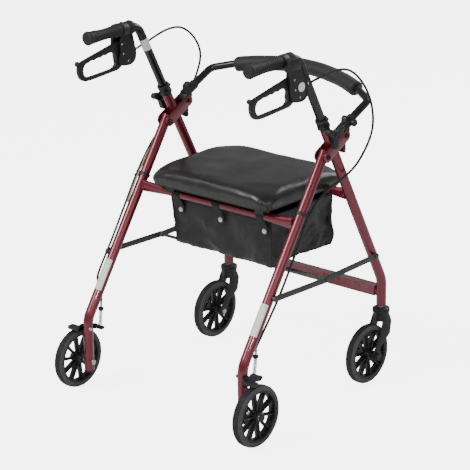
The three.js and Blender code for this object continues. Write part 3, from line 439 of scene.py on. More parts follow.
class Shape:
    """Gathers closed forms, then makes one object of them."""

    def __init__(self):
        self.verts = []
        self.faces = []

    def add(self, verts, faces):
        first = len(self.verts)
        self.verts += [Vector(v) for v in verts]
        self.faces += [[i + first for i in face] for face in faces]
        return self

    def rings(self, rings, closed=False):
        """Skins rings of equal length, and closes the two ends unless the last ring meets the first."""
        n = len(rings[0])
        verts = [p for ring in rings for p in ring]
        faces = []
        for r in range(len(rings) if closed else len(rings) - 1):
            a, b = r * n, ((r + 1) % len(rings)) * n
            faces += [[a + k, a + (k + 1) % n, b + (k + 1) % n, b + k] for k in range(n)]
        if not closed:
            faces.append(list(range(n))[::-1])
            faces.append([(len(rings) - 1) * n + k for k in range(n)])
        return self.add(verts, faces)

    def sweep(self, path, radius, sides=28, round_ends=0.0, flat=None):
        """A round bar along a path. radius is a number or a function of the share of the way along."""
        path = [Vector(p) for p in path]
        lengths = [0.0]
        for a, b in zip(path, path[1:]):
            lengths.append(lengths[-1] + (b - a).length)
        if round_ends:
            path, lengths = ease_ends(path, lengths, round_ends)
        total = lengths[-1]
        size = radius if callable(radius) else (lambda share: radius)
        tangent = (path[1] - path[0]).normalized()
        across = tangent.orthogonal().normalized() if flat is None else Vector(flat)
        rings = []
        for i, point in enumerate(path):
            ahead = path[min(i + 1, len(path) - 1)] - path[max(i - 1, 0)]
            turn = tangent.rotation_difference(ahead.normalized())
            across = turn @ across
            tangent = ahead.normalized()
            other = tangent.cross(across).normalized()
            r = size(lengths[i] / total)
            if round_ends:
                near = min(lengths[i], total - lengths[i])
                inset = max(0.0, 1 - near / round_ends)
                r -= round_ends * (1 - math.sqrt(max(0.0, 1 - inset**2)))
            angles = [2 * math.pi * k / sides for k in range(sides)]
            rings.append([point + across * r * math.cos(a) + other * r * math.sin(a) for a in angles])
        return self.rings(rings)

    def turn(self, profile, centre, axis=(1, 0, 0), segments=48, closed=False):
        """A body of revolution. The profile is (distance along the axis, radius)."""
        axis = Vector(axis).normalized()
        u = axis.orthogonal().normalized()
        v = axis.cross(u)
        centre = Vector(centre)
        rings = []
        for along, radius in profile:
            angles = [2 * math.pi * k / segments for k in range(segments)]
            radius = max(radius, 1e-5)
            rings.append([centre + axis * along + (u * math.cos(a) + v * math.sin(a)) * radius for a in angles])
        return self.rings(rings, closed)

    def plate(self, outlines, x0, x1, bevel=0.4 * MM, turned=None):
        """Side-view outlines, with holes, from x0 to x1 with softened edges."""
        curve = bpy.data.curves.new("outline", "CURVE")
        curve.dimensions = "2D"
        curve.fill_mode = "BOTH"
        curve.bevel_depth = bevel
        curve.bevel_resolution = 2
        curve.offset = -bevel
        curve.extrude = abs(x1 - x0) / 2 - bevel
        for outline in outlines:
            spline = curve.splines.new("POLY")
            spline.points.add(len(outline) - 1)
            for point, (y, z) in zip(spline.points, outline):
                point.co = (y, z, 0, 1)
            spline.use_cyclic_u = True
        holder = bpy.data.objects.new("outline", curve)
        mesh = bpy.data.meshes.new_from_object(holder)
        place = Matrix(((0, 0, 1, (x0 + x1) / 2), (1, 0, 0, 0), (0, 1, 0, 0), (0, 0, 0, 1)))
        if turned:
            place = turned @ place
        form = bmesh.new()
        form.from_mesh(mesh)
        bmesh.ops.remove_doubles(form, verts=form.verts, dist=1e-6)
        form.transform(place)
        form.verts.index_update()
        self.add([v.co.copy() for v in form.verts], [[v.index for v in f.verts] for f in form.faces])
        form.free()
        bpy.data.objects.remove(holder)
        bpy.data.curves.remove(curve)
        bpy.data.meshes.remove(mesh)
        return self

    def block(self, low, high, bevel=0.8 * MM):
        form = bmesh.new()
        bmesh.ops.create_cube(form, size=1)
        size = [b - a for a, b in zip(low, high)]
        centre = [(a + b) / 2 for a, b in zip(low, high)]
        form.transform(Matrix.Translation(centre) @ Matrix.Diagonal((*size, 1)))
        bmesh.ops.bevel(form, geom=form.edges[:], offset=bevel, segments=2, affect="EDGES", profile=0.6)
        form.verts.index_update()
        self.add([v.co.copy() for v in form.verts], [[v.index for v in f.verts] for f in form.faces])
        form.free()
        return self

    def make(self, name, material, sharp=38):
        mesh = bpy.data.meshes.new(name)
        mesh.from_pydata([tuple(v) for v in self.verts], [], self.faces)
        mesh.validate()
        form = bmesh.new()
        form.from_mesh(mesh)
        bmesh.ops.recalc_face_normals(form, faces=form.faces)
        form.to_mesh(mesh)
        form.free()
        obj = bpy.data.objects.new(name, mesh)
        bpy.context.scene.collection.objects.link(obj)
        mesh.materials.append(material)
        mesh.shade_smooth()
        mesh.set_sharp_from_angle(angle=math.radians(sharp))
        return obj


def ease_ends(path, lengths, reach):
    """Adds points near both ends of a path, so that its ends can be rounded."""
    shares = [0.02, 0.1, 0.3, 0.6, 1.0]
    first = (path[1] - path[0]).normalized()
    last = (path[-2] - path[-1]).normalized()
    head = [path[0] + first * reach * s for s in shares]
    tail = [path[-1] + last * reach * s for s in reversed(shares)]
    path = [path[0]] + head + path[1:-1] + tail + [path[-1]]
    lengths = [0.0]
    for a, b in zip(path, path[1:]):
        lengths.append(lengths[-1] + (b - a).length)
    return path, lengths


def stand_for(obj, *nodes):
    """The piece takes the place of CAD nodes, on their body."""
    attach(obj, BODY_OF[nodes[0]])
    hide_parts(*nodes)
    return obj


def extra(obj, body):
    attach(obj, body)
    return obj


def look_of(node):
    return LOOKS[SLOT_OF[node]]


def side_x(side, offset=0.0):
    """X of a place that far outside the side frame's plane."""
    return side * (TRACK + offset)


# ------------------------------------------------------------------ frames


def front_leg(name, side):
    node = f"front_leg_{name}"
    x = side_x(side)
    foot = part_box(node)[0].z
    top = Vector((x, front_axis(LEG_TOP_Z), LEG_TOP_Z))
    path = bent([top, (x, CASTOR.y, FRONT_BEND_Z), (x, CASTOR.y, foot)], 60 * MM)
    shape = Shape().sweep(path, LEG_R, 40, 0.6 * MM)
    outline = capsule((FOLD.y, FOLD.z), (BACKREST.y, BACKREST.z), 14.2 * MM, 13.6 * MM)
    for face in (1, -1):
        inner = x + face * 13.1 * MM
        shape.plate([outline], inner, inner + face * 3.2 * MM, 0.7 * MM)
    weld_z = (FOLD.z + BACKREST.z) / 2 - 2 * MM
    weld = [(-15 * MM, 8 * MM), (-13 * MM, 9.6 * MM), (13 * MM, 9.6 * MM), (15 * MM, 8 * MM)]
    shape.turn(weld, (x, front_axis(weld_z), weld_z))
    stand_for(shape.make(f"front_leg_tube_{name}", look_of(node)), node)


def rear_leg(name, side):
    node = f"rear_leg_{name}"
    x = side_x(side)
    up = Vector((0, FOLD.y - REAR_HUB.y, FOLD.z - REAR_BEND_Z)).normalized()
    top = Vector((x, FOLD.y, FOLD.z)) + up * 13 * MM
    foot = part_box(node)[0].z
    path = bent([top, (x, REAR_HUB.y, REAR_BEND_Z), (x, REAR_HUB.y, foot)], 60 * MM)
    shape = Shape().sweep(path, LEG_R - 0.15 * MM, 40, 0.8 * MM)
    stand_for(shape.make(f"rear_leg_tube_{name}", look_of(node)), node)
    plug = [(0, 0), (0, 11.4 * MM), (1.6 * MM, 12.9 * MM), (4 * MM, 12.9 * MM), (4.4 * MM, 11 * MM), (12 * MM, 11 * MM)]
    cap = Shape().turn(plug, (x, REAR_HUB.y, foot - 4.2 * MM), (0, 0, 1))
    extra(cap.make(f"rear_leg_cap_{name}", LOOKS["black_plastic"]), "rear_frame")
    rear_label(name, side, x)


def rear_label(name, side, x):
    """Blank sticker wrapped part of the way round the back of the leg."""
    low_z, high_z = 251 * MM, 318 * MM
    slope = (FOLD - Vector((0, REAR_HUB.y, REAR_BEND_Z))).normalized()
    slope.x = 0
    back = Vector((0, -slope.z, slope.y))
    rings = []
    for z in (low_z, high_z):
        centre = Vector((x, rear_axis(z), z))
        angles = [math.radians(-62 + 124 * k / 14) for k in range(15)]
        spots = [(back * math.cos(a) + Vector((1, 0, 0)) * math.sin(a)) for a in angles]
        outer = [centre + s * (LEG_R + 0.25 * MM) for s in spots]
        inner = [centre + s * (LEG_R - 0.3 * MM) for s in reversed(spots)]
        rings.append(outer + inner)
    piece = Shape().rings(rings).make(f"blank_label_{name}", LABEL)
    extra(piece, "rear_frame")


def seat_rail(node, place, piece_name, flare):
    """Round rail whose ends are pressed flat and welded to the legs."""
    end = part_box(node)[1].x
    half_high = (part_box(node)[1].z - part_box(node)[0].z) / 2 + 1.5 * MM
    flat_from = end - flare
    rings = []
    for k in range(-24, 25):
        share = k / 24
        x = share * end if abs(share) < 1 else math.copysign(end, share)
        x = math.copysign(min(abs(x), end), x)
        flat = max(0.0, (abs(x) - flat_from) / (end - flat_from))
        flat = flat**0.8
        high = RAIL_R + (half_high - RAIL_R) * flat
        deep = RAIL_R - 2.2 * MM * flat
        angles = [2 * math.pi * a / 32 for a in range(32)]
        rings.append([Vector((x, place.y + deep * math.cos(a), place.z + high * math.sin(a))) for a in angles])
    piece = Shape().rings(rings).make(piece_name, look_of(node))
    stand_for(piece, node)


def weld_bead(name, x, y, z, radius_y, radius_z, body):
    """Rippled bead where a rail meets a leg."""
    path = []
    for k in range(64):
        a = 2 * math.pi * k / 64
        ripple = 0.25 * MM * math.sin(24 * a)
        path.append(Vector((x, y + (radius_y + ripple) * math.cos(a), z + (radius_z + ripple) * math.sin(a))))
    rings = []
    for k, point in enumerate(path):
        ahead = (path[(k + 1) % 64] - path[k - 1]).normalized()
        out = Vector((1, 0, 0))
        other = ahead.cross(out)
        size = (1.5 + 0.35 * math.sin(9 * k)) * MM
        rings.append(
            [point + (out * math.cos(b) + other * math.sin(b)) * size for b in (2 * math.pi * j / 8 for j in range(8))]
        )
    extra(Shape().rings(rings, closed=True).make(name, LOOKS["frame_paint"]), body)


def rails():
    seat_rail("front_seat_rail", SEAT_HINGE, "front_seat_rail_tube", 50 * MM)
    seat_rail("rear_seat_rail", REAR_RAIL, "rear_seat_rail_tube", 74 * MM)
    rail = frame["nodes"]["lower_front_rail"]
    rail.data.materials.clear()
    rail.data.materials.append(LOOKS["frame_paint"])
    soften = rail.modifiers.new("soft_edges", "BEVEL")
    soften.width = 1.6 * MM
    soften.segments = 3
    for name, side in SIDES:
        x = side * (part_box("front_seat_rail")[1].x - 0.4 * MM)
        weld_bead(f"front_rail_weld_{name}", x, SEAT_HINGE.y, SEAT_HINGE.z, 7.6 * MM, 13.4 * MM, "front_frame")
        weld_bead(f"rear_rail_weld_{name}", x, REAR_RAIL.y, REAR_RAIL.z, 7.6 * MM, 13.4 * MM, "rear_frame")
        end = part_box("lower_front_rail")[1].x
        saddle = Shape().sweep([(side * (end - 6 * MM), LOWER_RAIL.y, LOWER_RAIL.z), (side * (TRACK - 6 * MM), LOWER_RAIL.y, LOWER_RAIL.z)], 11.6 * MM, 24, 0.6 * MM)
        extra(saddle.make(f"lower_rail_saddle_{name}", LOOKS["frame_paint"]), "front_frame")
        weld_bead(f"lower_rail_weld_{name}", x, LOWER_RAIL.y, LOWER_RAIL.z, 12.9 * MM, 12.9 * MM, "front_frame")


def collar(name, side):
    """Plastic collar round the handle tube, with the spring button's housing in front."""
    node = f"leg_collar_{name}"
    base = Vector((side_x(side), front_axis(LEG_TOP_Z), LEG_TOP_Z)) + SLIDE * 0.4 * MM
    inner, outer = HANDLE_R + 0.5 * MM, 15 * MM
    profile = [
        (0, inner), (0, outer), (1.5 * MM, 16 * MM), (7 * MM, 16 * MM), (8 * MM, outer),
        (17 * MM, outer), (18.5 * MM, 15.8 * MM), (25 * MM, 15.6 * MM), (27 * MM, 14.2 * MM), (27 * MM, inner),
    ]
    shape = Shape().turn(profile, base, SLIDE, 44, closed=True)
    forward = Vector((0, SLIDE.z, -SLIDE.y))
    button = [(0, 6 * MM), (4.4 * MM, 6 * MM), (5.4 * MM, 5 * MM), (6 * MM, 3 * MM), (6 * MM, 0)]
    shape.turn(button, base + SLIDE * 13 * MM + forward * 14.2 * MM, forward, 24)
    stand_for(shape.make(f"collar_{name}", look_of(node)), node)


# ------------------------------------------------------------------ fasteners


def bolt(piece_name, node, centre, x0, x1, side, head=6.8 * MM, shank=3.9 * MM, finish=None):
    """Dome-headed bolt along X, its nut at x0 and its head at x1, measured outwards."""
    shape = Shape()
    shape.turn([(side * x0, shank), (side * x1, shank)], (0, centre.y, centre.z), segments=20)
    dome = [
        (side * x1, head), (side * (x1 + 1.2 * MM), head), (side * (x1 + 2.6 * MM), head * 0.86),
        (side * (x1 + 3.6 * MM), head * 0.55), (side * (x1 + 3.8 * MM), head * 0.42),
        (side * (x1 + 2.4 * MM), head * 0.36), (side * (x1 + 2.4 * MM), 0),
    ]
    shape.turn(dome, (0, centre.y, centre.z), segments=30)
    nut = [(side * (x0 - 4.6 * MM), head * 0.8), (side * (x0 - 4 * MM), head * 0.95), (side * x0, head * 0.95)]
    shape.turn(nut, (0, centre.y, centre.z), segments=6)
    washer = [(side * (x1 - 0.9 * MM), head * 1.12), (side * x1, head * 1.12)]
    shape.turn(washer, (0, centre.y, centre.z), segments=30)
    return stand_for(shape.make(piece_name, finish or LOOKS["steel"]), node)


def frame_bolts(name, side):
    inside = TRACK - 16.9 * MM
    outside = TRACK + 17.2 * MM
    bolt(f"fold_pivot_bolt_{name}", f"fold_bolt_{name}", FOLD, inside, outside, side, 5.8 * MM, finish=DARK_STEEL)
    bolt(f"backrest_pivot_bolt_{name}", f"backrest_bolt_{name}", BACKREST, inside, outside, side, 5.8 * MM, finish=DARK_STEEL)


# ------------------------------------------------------------------ folding links


def link_bar(name, side, leg_end, node, inner, outline_from):
    """Flat link with a pin and a domed head at its leg end, and a second head at the rod end on the rear links."""
    x0, x1 = side * inner, side * (inner + 3 * MM)
    a, b = (leg_end.y, leg_end.z), (ROD.y, ROD.z)
    shape = Shape().plate([capsule(a, b, 7.4 * MM)], x0, x1, 0.6 * MM)
    shape.turn([(side * (TRACK + 9 * MM), 3.8 * MM), (x1, 3.8 * MM)], (0, *a), segments=20)
    for y, z in (a, b) if outline_from == "rear" else (a,):
        head = [(x1, 6.6 * MM), (x1 + side * 2.2 * MM, 6.4 * MM), (x1 + side * 3.6 * MM, 4.4 * MM), (x1 + side * 4 * MM, 0)]
        shape.turn(head, (0, y, z), segments=28)
    stand_for(shape.make(f"{node}_bar", look_of(node)), node)


def links():
    face = TRACK + 14.2 * MM
    for name, side in SIDES:
        link_bar(name, side, LINK_FRONT, f"front_link_{name}", face, "front")
        link_bar(name, side, LINK_REAR, f"rear_link_{name}", face + 3.4 * MM, "rear")
    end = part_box("cross_rod")[1].x
    shape = Shape().sweep([Vector((-end, ROD.y, ROD.z)), Vector((end, ROD.y, ROD.z))], 4 * MM, 28, 0.5 * MM)
    for side in (1, -1):
        stop = [(side * (end - 8.6 * MM), 5.2 * MM), (side * (end - 7.8 * MM), 6.4 * MM), (side * (end - 3.5 * MM), 6.4 * MM)]
        shape.turn(stop, (0, ROD.y, ROD.z), segments=28)
    stand_for(shape.make("cross_rod_bar", look_of("cross_rod")), "cross_rod")


# ------------------------------------------------------------------ wheels and castors


def tyre(name, hub, node):
    r = hub.z
    w = 12 * MM
    profile = [
        (-w + 1 * MM, r - 13.4 * MM), (-w, r - 12 * MM), (-w, r - 8 * MM), (-w + 1 * MM, r - 4.6 * MM),
        (-w + 3.2 * MM, r - 1.8 * MM), (-w + 5.4 * MM, r - 0.5 * MM), (-3 * MM, r), (3 * MM, r),
        (w - 5.4 * MM, r - 0.5 * MM), (w - 3.2 * MM, r - 1.8 * MM), (w - 1 * MM, r - 4.6 * MM),
        (w, r - 8 * MM), (w, r - 12 * MM), (w - 1 * MM, r - 13.4 * MM),
    ]
    piece = Shape().turn(profile, hub, segments=96, closed=True).make(f"{node}_tread", look_of(node), 50)
    piece.data.materials.append(TYRE_WALL)
    for face in piece.data.polygons:
        if abs(face.center.x - hub.x) > 8.4 * MM:
            face.material_index = 1
    stand_for(piece, node)


def wheel(name, side, hub, node, hub_half):
    """Moulded wheel: lipped rim, ribbed spokes and a hub."""
    rim = hub.z - 13.8 * MM
    w = 11 * MM
    profile = [
        (-w, rim), (-w - 0.6 * MM, rim - 1.2 * MM), (-w, rim - 3.4 * MM), (-w + 2.4 * MM, rim - 4.6 * MM),
        (0, rim - 6 * MM), (w - 2.4 * MM, rim - 4.6 * MM), (w, rim - 3.4 * MM), (w + 0.6 * MM, rim - 1.2 * MM), (w, rim),
    ]
    shape = Shape().turn(profile, hub, segments=96, closed=True)
    bore = 4.8 * MM
    hub_profile = [
        (-hub_half, bore), (-hub_half, 8.2 * MM), (-hub_half + 0.8 * MM, 9 * MM), (-14.5 * MM, 9.4 * MM),
        (-12.4 * MM, 13.2 * MM), (-7 * MM, 14.5 * MM), (7 * MM, 14.5 * MM), (12.4 * MM, 13.2 * MM), (14.5 * MM, 9.4 * MM),
        (hub_half - 0.8 * MM, 9 * MM), (hub_half, 8.2 * MM), (hub_half, bore),
    ]
    shape.turn(hub_profile, hub, segments=40, closed=True)
    for k in range(SPOKES):
        turned = Matrix.Translation(hub) @ Matrix.Rotation(math.radians(25 + 360 * k / SPOKES), 4, "X")
        spoke = [(13 * MM, -5 * MM), (30 * MM, -3.4 * MM), (rim - 4 * MM, -4.6 * MM),
                 (rim - 4 * MM, 4.6 * MM), (30 * MM, 3.4 * MM), (13 * MM, 5 * MM)]
        shape.plate([spoke], -2.4 * MM, 2.4 * MM, 0.7 * MM, turned)
        rib = [(13 * MM, -1.5 * MM), (rim - 4 * MM, -1.3 * MM), (rim - 4 * MM, 1.3 * MM), (13 * MM, 1.5 * MM)]
        shape.plate([rib], -8.5 * MM, 8.5 * MM, 0.5 * MM, turned)
    stand_for(shape.make(f"{node}_centre", WHEEL_LOOK), node)


def rear_wheel(name, side):
    hub = Vector((side * REAR_HUB.x, REAR_HUB.y, REAR_HUB.z))
    wheel(name, side, hub, f"rear_wheel_{name}", 16.2 * MM)
    tyre(name, hub, f"rear_tyre_{name}")
    inner = TRACK - 13.4 * MM
    bolt(f"rear_wheel_bolt_{name}", f"rear_axle_{name}", REAR_HUB, inner, TRACK + 52 * MM, side, 7.4 * MM)
    rim = Shape().turn([(side * (TRACK + 55.2 * MM), 10.9 * MM), (side * (TRACK + 56.6 * MM), 10.9 * MM)],
                       (0, REAR_HUB.y, REAR_HUB.z), segments=36)
    extra(rim.make(f"rear_hub_washer_{name}", LOOKS["steel"]), "rear_frame")
    end_cap(f"rear_hub_cap_{name}", REAR_HUB, TRACK + 56.1 * MM, TRACK + 60 * MM, side, "rear_frame")


def castor(name, side):
    hub = Vector((side * FRONT_HUB.x, FRONT_HUB.y, FRONT_HUB.z))
    wheel(name, side, hub, f"front_wheel_{name}", 23.7 * MM)
    tyre(name, hub, f"front_tyre_{name}")
    fork(name, side)
    bolt(
        f"castor_bolt_{name}", f"castor_axle_{name}", FRONT_HUB,
        TRACK - 29.9 * MM, TRACK + 30.6 * MM, side, 7.4 * MM,
    )
    end_cap(f"castor_cap_{name}", FRONT_HUB, TRACK + 30.4 * MM, TRACK + 41.9 * MM, side, f"castor_{name}")
    stem(name, side)


def densified(outline, step):
    """The same outline with points no further apart than step."""
    dense = []
    for a, b in zip(outline, outline[1:] + outline[:1]):
        count = max(1, math.ceil(math.dist(a, b) / step))
        dense += [(a[0] + (b[0] - a[0]) * k / count, a[1] + (b[1] - a[1]) * k / count) for k in range(count)]
    return dense


def end_cap(piece_name, centre, x0, x1, side, body):
    """Dark push-on cap over an axle's end, with a shallow dished face."""
    profile = [
        (x0, 9.4 * MM), (x0 + 0.8 * MM, 10 * MM), (x1 - 1.4 * MM, 10 * MM), (x1 - 0.2 * MM, 9 * MM), (x1, 7.8 * MM),
        (x1 - 0.7 * MM, 6.8 * MM), (x1 - 0.5 * MM, 0),
    ]
    cap = Shape().turn([(side * a, r) for a, r in profile], (0, centre.y, centre.z), segments=36)
    extra(cap.make(piece_name, LOOKS["black_plastic"]), body)


def fork(name, side):
    """Castor fork: grooved bearing cup, tapering neck and two trailing arms."""
    node = f"castor_fork_{name}"
    x = side_x(side)
    top = CASTOR.z
    cup = [
        (0, 9 * MM), (0, 19 * MM), (-1.4 * MM, 21.6 * MM), (-4 * MM, 22 * MM), (-5 * MM, 20.8 * MM), (-6 * MM, 20.8 * MM),
        (-7 * MM, 22 * MM), (-10 * MM, 22 * MM), (-12 * MM, 20.8 * MM), (-20 * MM, 20.2 * MM), (-31 * MM, 20 * MM),
        (-34 * MM, 17 * MM), (-34 * MM, 9.6 * MM),
    ]
    shape = Shape().turn(cup, (x, CASTOR.y, top), (0, 0, 1), 48, closed=True)
    y, z = FRONT_HUB.y, FRONT_HUB.z
    outline = [(CASTOR.y - 7 * MM, top - 13 * MM), (CASTOR.y - 14 * MM, top - 22 * MM), (CASTOR.y - 18 * MM, top - 36 * MM),
               (CASTOR.y - 26 * MM, top - 52 * MM)]
    outline += [(y - 4 * MM, z + 14 * MM)] + arc((y, z), 11.5 * MM, 150, 330, 12)
    outline += [(y + 21 * MM, z + 18 * MM), (CASTOR.y + 6 * MM, top - 66 * MM), (CASTOR.y + 18 * MM, top - 36 * MM),
                (CASTOR.y + 14 * MM, top - 22 * MM), (CASTOR.y + 7 * MM, top - 13 * MM)]
    for face in (1, -1):
        inner = x + face * 15.6 * MM
        first = len(shape.verts)
        shape.plate([densified(outline, 4 * MM)], inner, inner + face * 4.2 * MM, 1.2 * MM)
        for vertex in shape.verts[first:]:
            down = (top - 34 * MM - vertex.z) / (top - 34 * MM - (z + 13 * MM))
            vertex.x += face * 10 * MM * max(0.0, min(1.0, down))
            vertex.x -= face * 2.2 * MM * max(0.0, min(1.0, (vertex.z - (top - 34 * MM)) / (20 * MM)))
    stand_for(shape.make(f"castor_fork_body_{name}", look_of(node)), node)


def stem(name, side):
    node = f"castor_stem_{name}"
    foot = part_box(f"front_leg_{name}")[0].z
    profile = [
        (-36 * MM, 4.8 * MM), (0, 4.8 * MM), (0.6 * MM, 9.6 * MM), (5 * MM, 10 * MM), (5.6 * MM, 9.4 * MM), (5.8 * MM, 8 * MM),
        (foot - CASTOR.z + 12 * MM, 8 * MM),
    ]
    piece = Shape().turn(profile, (side_x(side), CASTOR.y, CASTOR.z), (0, 0, 1), 36).make(f"castor_pin_{name}", LOOKS["steel"])
    stand_for(piece, node)


# ------------------------------------------------------------------ handles and brakes

KNOB_LOBES = {"right": 30, "left": 45}
CABLE_RUNS = {
    "right": [
        (271.5, -23, 830), (278, 18, 839), (284, 80, 845), (286, 130, 828), (286, 178, 780), (285, 206, 720),
        (284, 204, 662), (280, 165, 606), (277, 118, 577), (272, 48, 553), (266, -6, 510), (264, -49, 440),
        (262, -120, 330), (253, -193, 224),
    ],
    "left": [
        (271.5, -23, 830), (276, 20, 838), (283, 100, 852), (284, 158, 846), (284, 205, 810), (284, 226, 760),
        (284, 200, 700), (283, 150, 655), (283, 92, 615), (279, 35, 580), (266, -35.6, 520), (264, -90.5, 440),
        (261, -139.7, 370), (262, -180.1, 310), (271, -186, 276), (265, -183.2, 252), (253, -193, 224),
    ],
}
CABLE_SPLIT = 7


def scaled(points):
    return [tuple(c * MM for c in p) for p in points]


def traced(start, *legs, steps=6):
    """Side-view outline in mm: each leg is (y, z), or (control y, control z, y, z) for a curve."""
    points = [start]
    for leg in legs:
        if len(leg) == 2:
            points.append(leg)
            continue
        a, control, b = Vector(points[-1]), Vector(leg[:2]), Vector(leg[2:])
        for k in range(1, steps + 1):
            t = k / steps
            points.append(tuple(a * (1 - t) ** 2 + control * 2 * t * (1 - t) + b * t**2))
    return scaled(points)


def ball(shape, centre, radius, axis=(1, 0, 0)):
    turns = [math.pi * k / 12 for k in range(13)]
    return shape.turn([(-radius * math.cos(a), radius * math.sin(a)) for a in turns], centre, axis, 24)


def handle_tube(name, side):
    node = f"handle_tube_{name}"
    x = side_x(side)
    low = Vector((x, front_axis(LEG_TOP_Z), LEG_TOP_Z)) - SLIDE * 160 * MM
    path = bent([low, (x, front_axis(HANDLE_Z), HANDLE_Z), (x, GRIP_LOW.y + 6 * MM, HANDLE_Z)], 38 * MM, 16)
    shape = Shape().sweep(path, HANDLE_R, 40, 0.5 * MM)
    stand_for(shape.make(f"handle_bar_{name}", look_of(node)), node)
    if name == "left":
        low_z, label_r = 829 * MM, HANDLE_R + 0.3 * MM
        band = [(0, HANDLE_R - 0.3 * MM), (0, label_r), (33 * MM, label_r), (33 * MM, HANDLE_R - 0.3 * MM)]
        sticker = Shape().turn(band, (x, front_axis(low_z), low_z), SLIDE, 40, closed=True)
        extra(sticker.make("blank_label_handle", LABEL), "handle_left")


def grip(name, side):
    """Rubber grip: palm swell, shallow finger rings and a flared end."""
    node = f"grip_{name}"
    length = GRIP_HIGH.y - GRIP_LOW.y
    profile = [(0, 11.2 * MM), (0, 13.8 * MM), (1.2 * MM, 15.4 * MM), (4 * MM, 15.8 * MM)]
    steps = 90
    for k in range(1, steps):
        share = k / steps
        along = 4 * MM + share * (length - 16 * MM)
        swell = 14.4 + 1.1 * math.cos(2 * math.pi * (share - 0.02)) + 0.5 * share
        ring = 0.45 * max(0.0, math.sin(2 * math.pi * share * 14)) if 0.08 < share < 0.9 else 0.0
        profile.append((along, (swell - ring) * MM))
    profile += [
        (length - 10 * MM, 16.3 * MM), (length - 6 * MM, 17.3 * MM), (length - 2.5 * MM, 16.8 * MM),
        (length - 0.8 * MM, 14.6 * MM), (length - 0.2 * MM, 10 * MM), (length - 1.2 * MM, 7 * MM), (length - 1.2 * MM, 0),
    ]
    shape = Shape().turn(profile, (side_x(side), GRIP_HIGH.y, HANDLE_Z), (0, -1, 0), 56)
    stand_for(shape.make(f"hand_grip_{name}", look_of(node), 50), node)


def housing(name, side):
    """Brake housing: two cheeks with a raised rim, a front wall, the tube clamp and its screws."""
    node = f"brake_housing_{name}"
    plane = LEVER.x
    outline = traced(
        (-98, 893), (-101, 858), (-94, 815), (-94, 801, -80, 799), (-62, 797), (-34, 797, -34, 824), (-40, 852), (-58, 893),
    )
    inner_rim = traced(
        (-94.5, 888), (-97.5, 858), (-91, 817), (-90, 804, -79, 802.6), (-63, 800.6), (-38, 800, -37.6, 824),
        (-43.6, 851), (-60.4, 888),
    )
    filler = traced((-97, 892), (-98, 872), (-70, 872), (-50, 866), (-48, 810), (-37, 812), (-35.5, 824), (-41, 852), (-59, 892))
    shape = Shape()
    inner_cheek = traced(
        (-84, 893), (-88, 858), (-91, 830), (-94, 812), (-93, 800, -78, 799), (-62, 797), (-34, 797, -34, 824), (-40, 852),
        (-50, 893),
    )
    for cheek, low, high in ((inner_cheek, -11.5, -5.6), (outline, 5.6, 11.5)):
        shape.plate([cheek], side * (plane + low * MM), side * (plane + high * MM), 1.1 * MM)
    shape.plate([filler], side * (plane - 6 * MM), side * (plane + 6 * MM), 0.4 * MM)
    face = plane + 11.5 * MM
    shape.plate([outline, inner_rim], side * (face - 0.4 * MM), side * (face + 1.1 * MM), 0.45 * MM)
    clamp = [
        (-97 * MM, 11.4 * MM), (-97 * MM, 15.4 * MM), (-95.4 * MM, 17 * MM), (-82 * MM, 17 * MM), (-80 * MM, 16 * MM),
        (-77 * MM, 16 * MM), (-75 * MM, 17 * MM), (-60 * MM, 17 * MM), (-58 * MM, 15.4 * MM), (-58 * MM, 11.4 * MM),
    ]
    shape.turn(clamp, (side_x(side), 0, HANDLE_Z), (0, 1, 0), 40, closed=True)
    low_x, high_x = sorted((side * (TRACK + 10 * MM), side * (face + 1.2 * MM)))
    for y in (-90, -65):
        ball(shape, (side_x(side, 3 * MM), y * MM, HANDLE_Z + 14.4 * MM), 4.2 * MM)
    shape.block((low_x, -98 * MM, HANDLE_Z - 19 * MM), (high_x, -58 * MM, HANDLE_Z + 9 * MM), 4 * MM)
    start, end = Vector((side * plane, -41 * MM, 826 * MM)), Vector((side * plane, -27 * MM, 829.4 * MM))
    shape.sweep([start, end], 4.6 * MM, 24, 0.8 * MM)
    stand_for(shape.make(f"brake_housing_shell_{name}", look_of(node)), node)
    metal = Shape().sweep([end - (end - start) * 0.3, Vector((side * plane, -20.5 * MM, 831 * MM))], 3.3 * MM, 20, 0.5 * MM)
    for y, z in ((-84, 854), (-81, 829.5), (-64, 809)):
        head = [(0, 2.9 * MM), (0.9 * MM, 2.7 * MM), (1.3 * MM, 1.9 * MM), (0.5 * MM, 1.5 * MM), (0.5 * MM, 0)]
        for out, level in ((side, face + 0.1 * MM), (-side, plane - 11.4 * MM)):
            dome = [(out * along, radius) for along, radius in head]
            metal.turn(dome, (side * level, y * MM, z * MM), segments=20)
    extra(metal.make(f"housing_screws_{name}", LOOKS["steel"]), f"handle_{name}")
    badge = [(0, 11.4 * MM), (1 * MM, 11.2 * MM), (1.6 * MM, 10.2 * MM), (1.3 * MM, 9.4 * MM), (2 * MM, 5 * MM), (2.2 * MM, 0)]
    badge = [(side * along, radius) for along, radius in badge]
    disc = Shape().turn(badge, (side * (face + 0.05 * MM), -58.4 * MM, 832 * MM), segments=40)
    extra(disc.make(f"plain_disc_{name}", LABEL), f"handle_{name}")


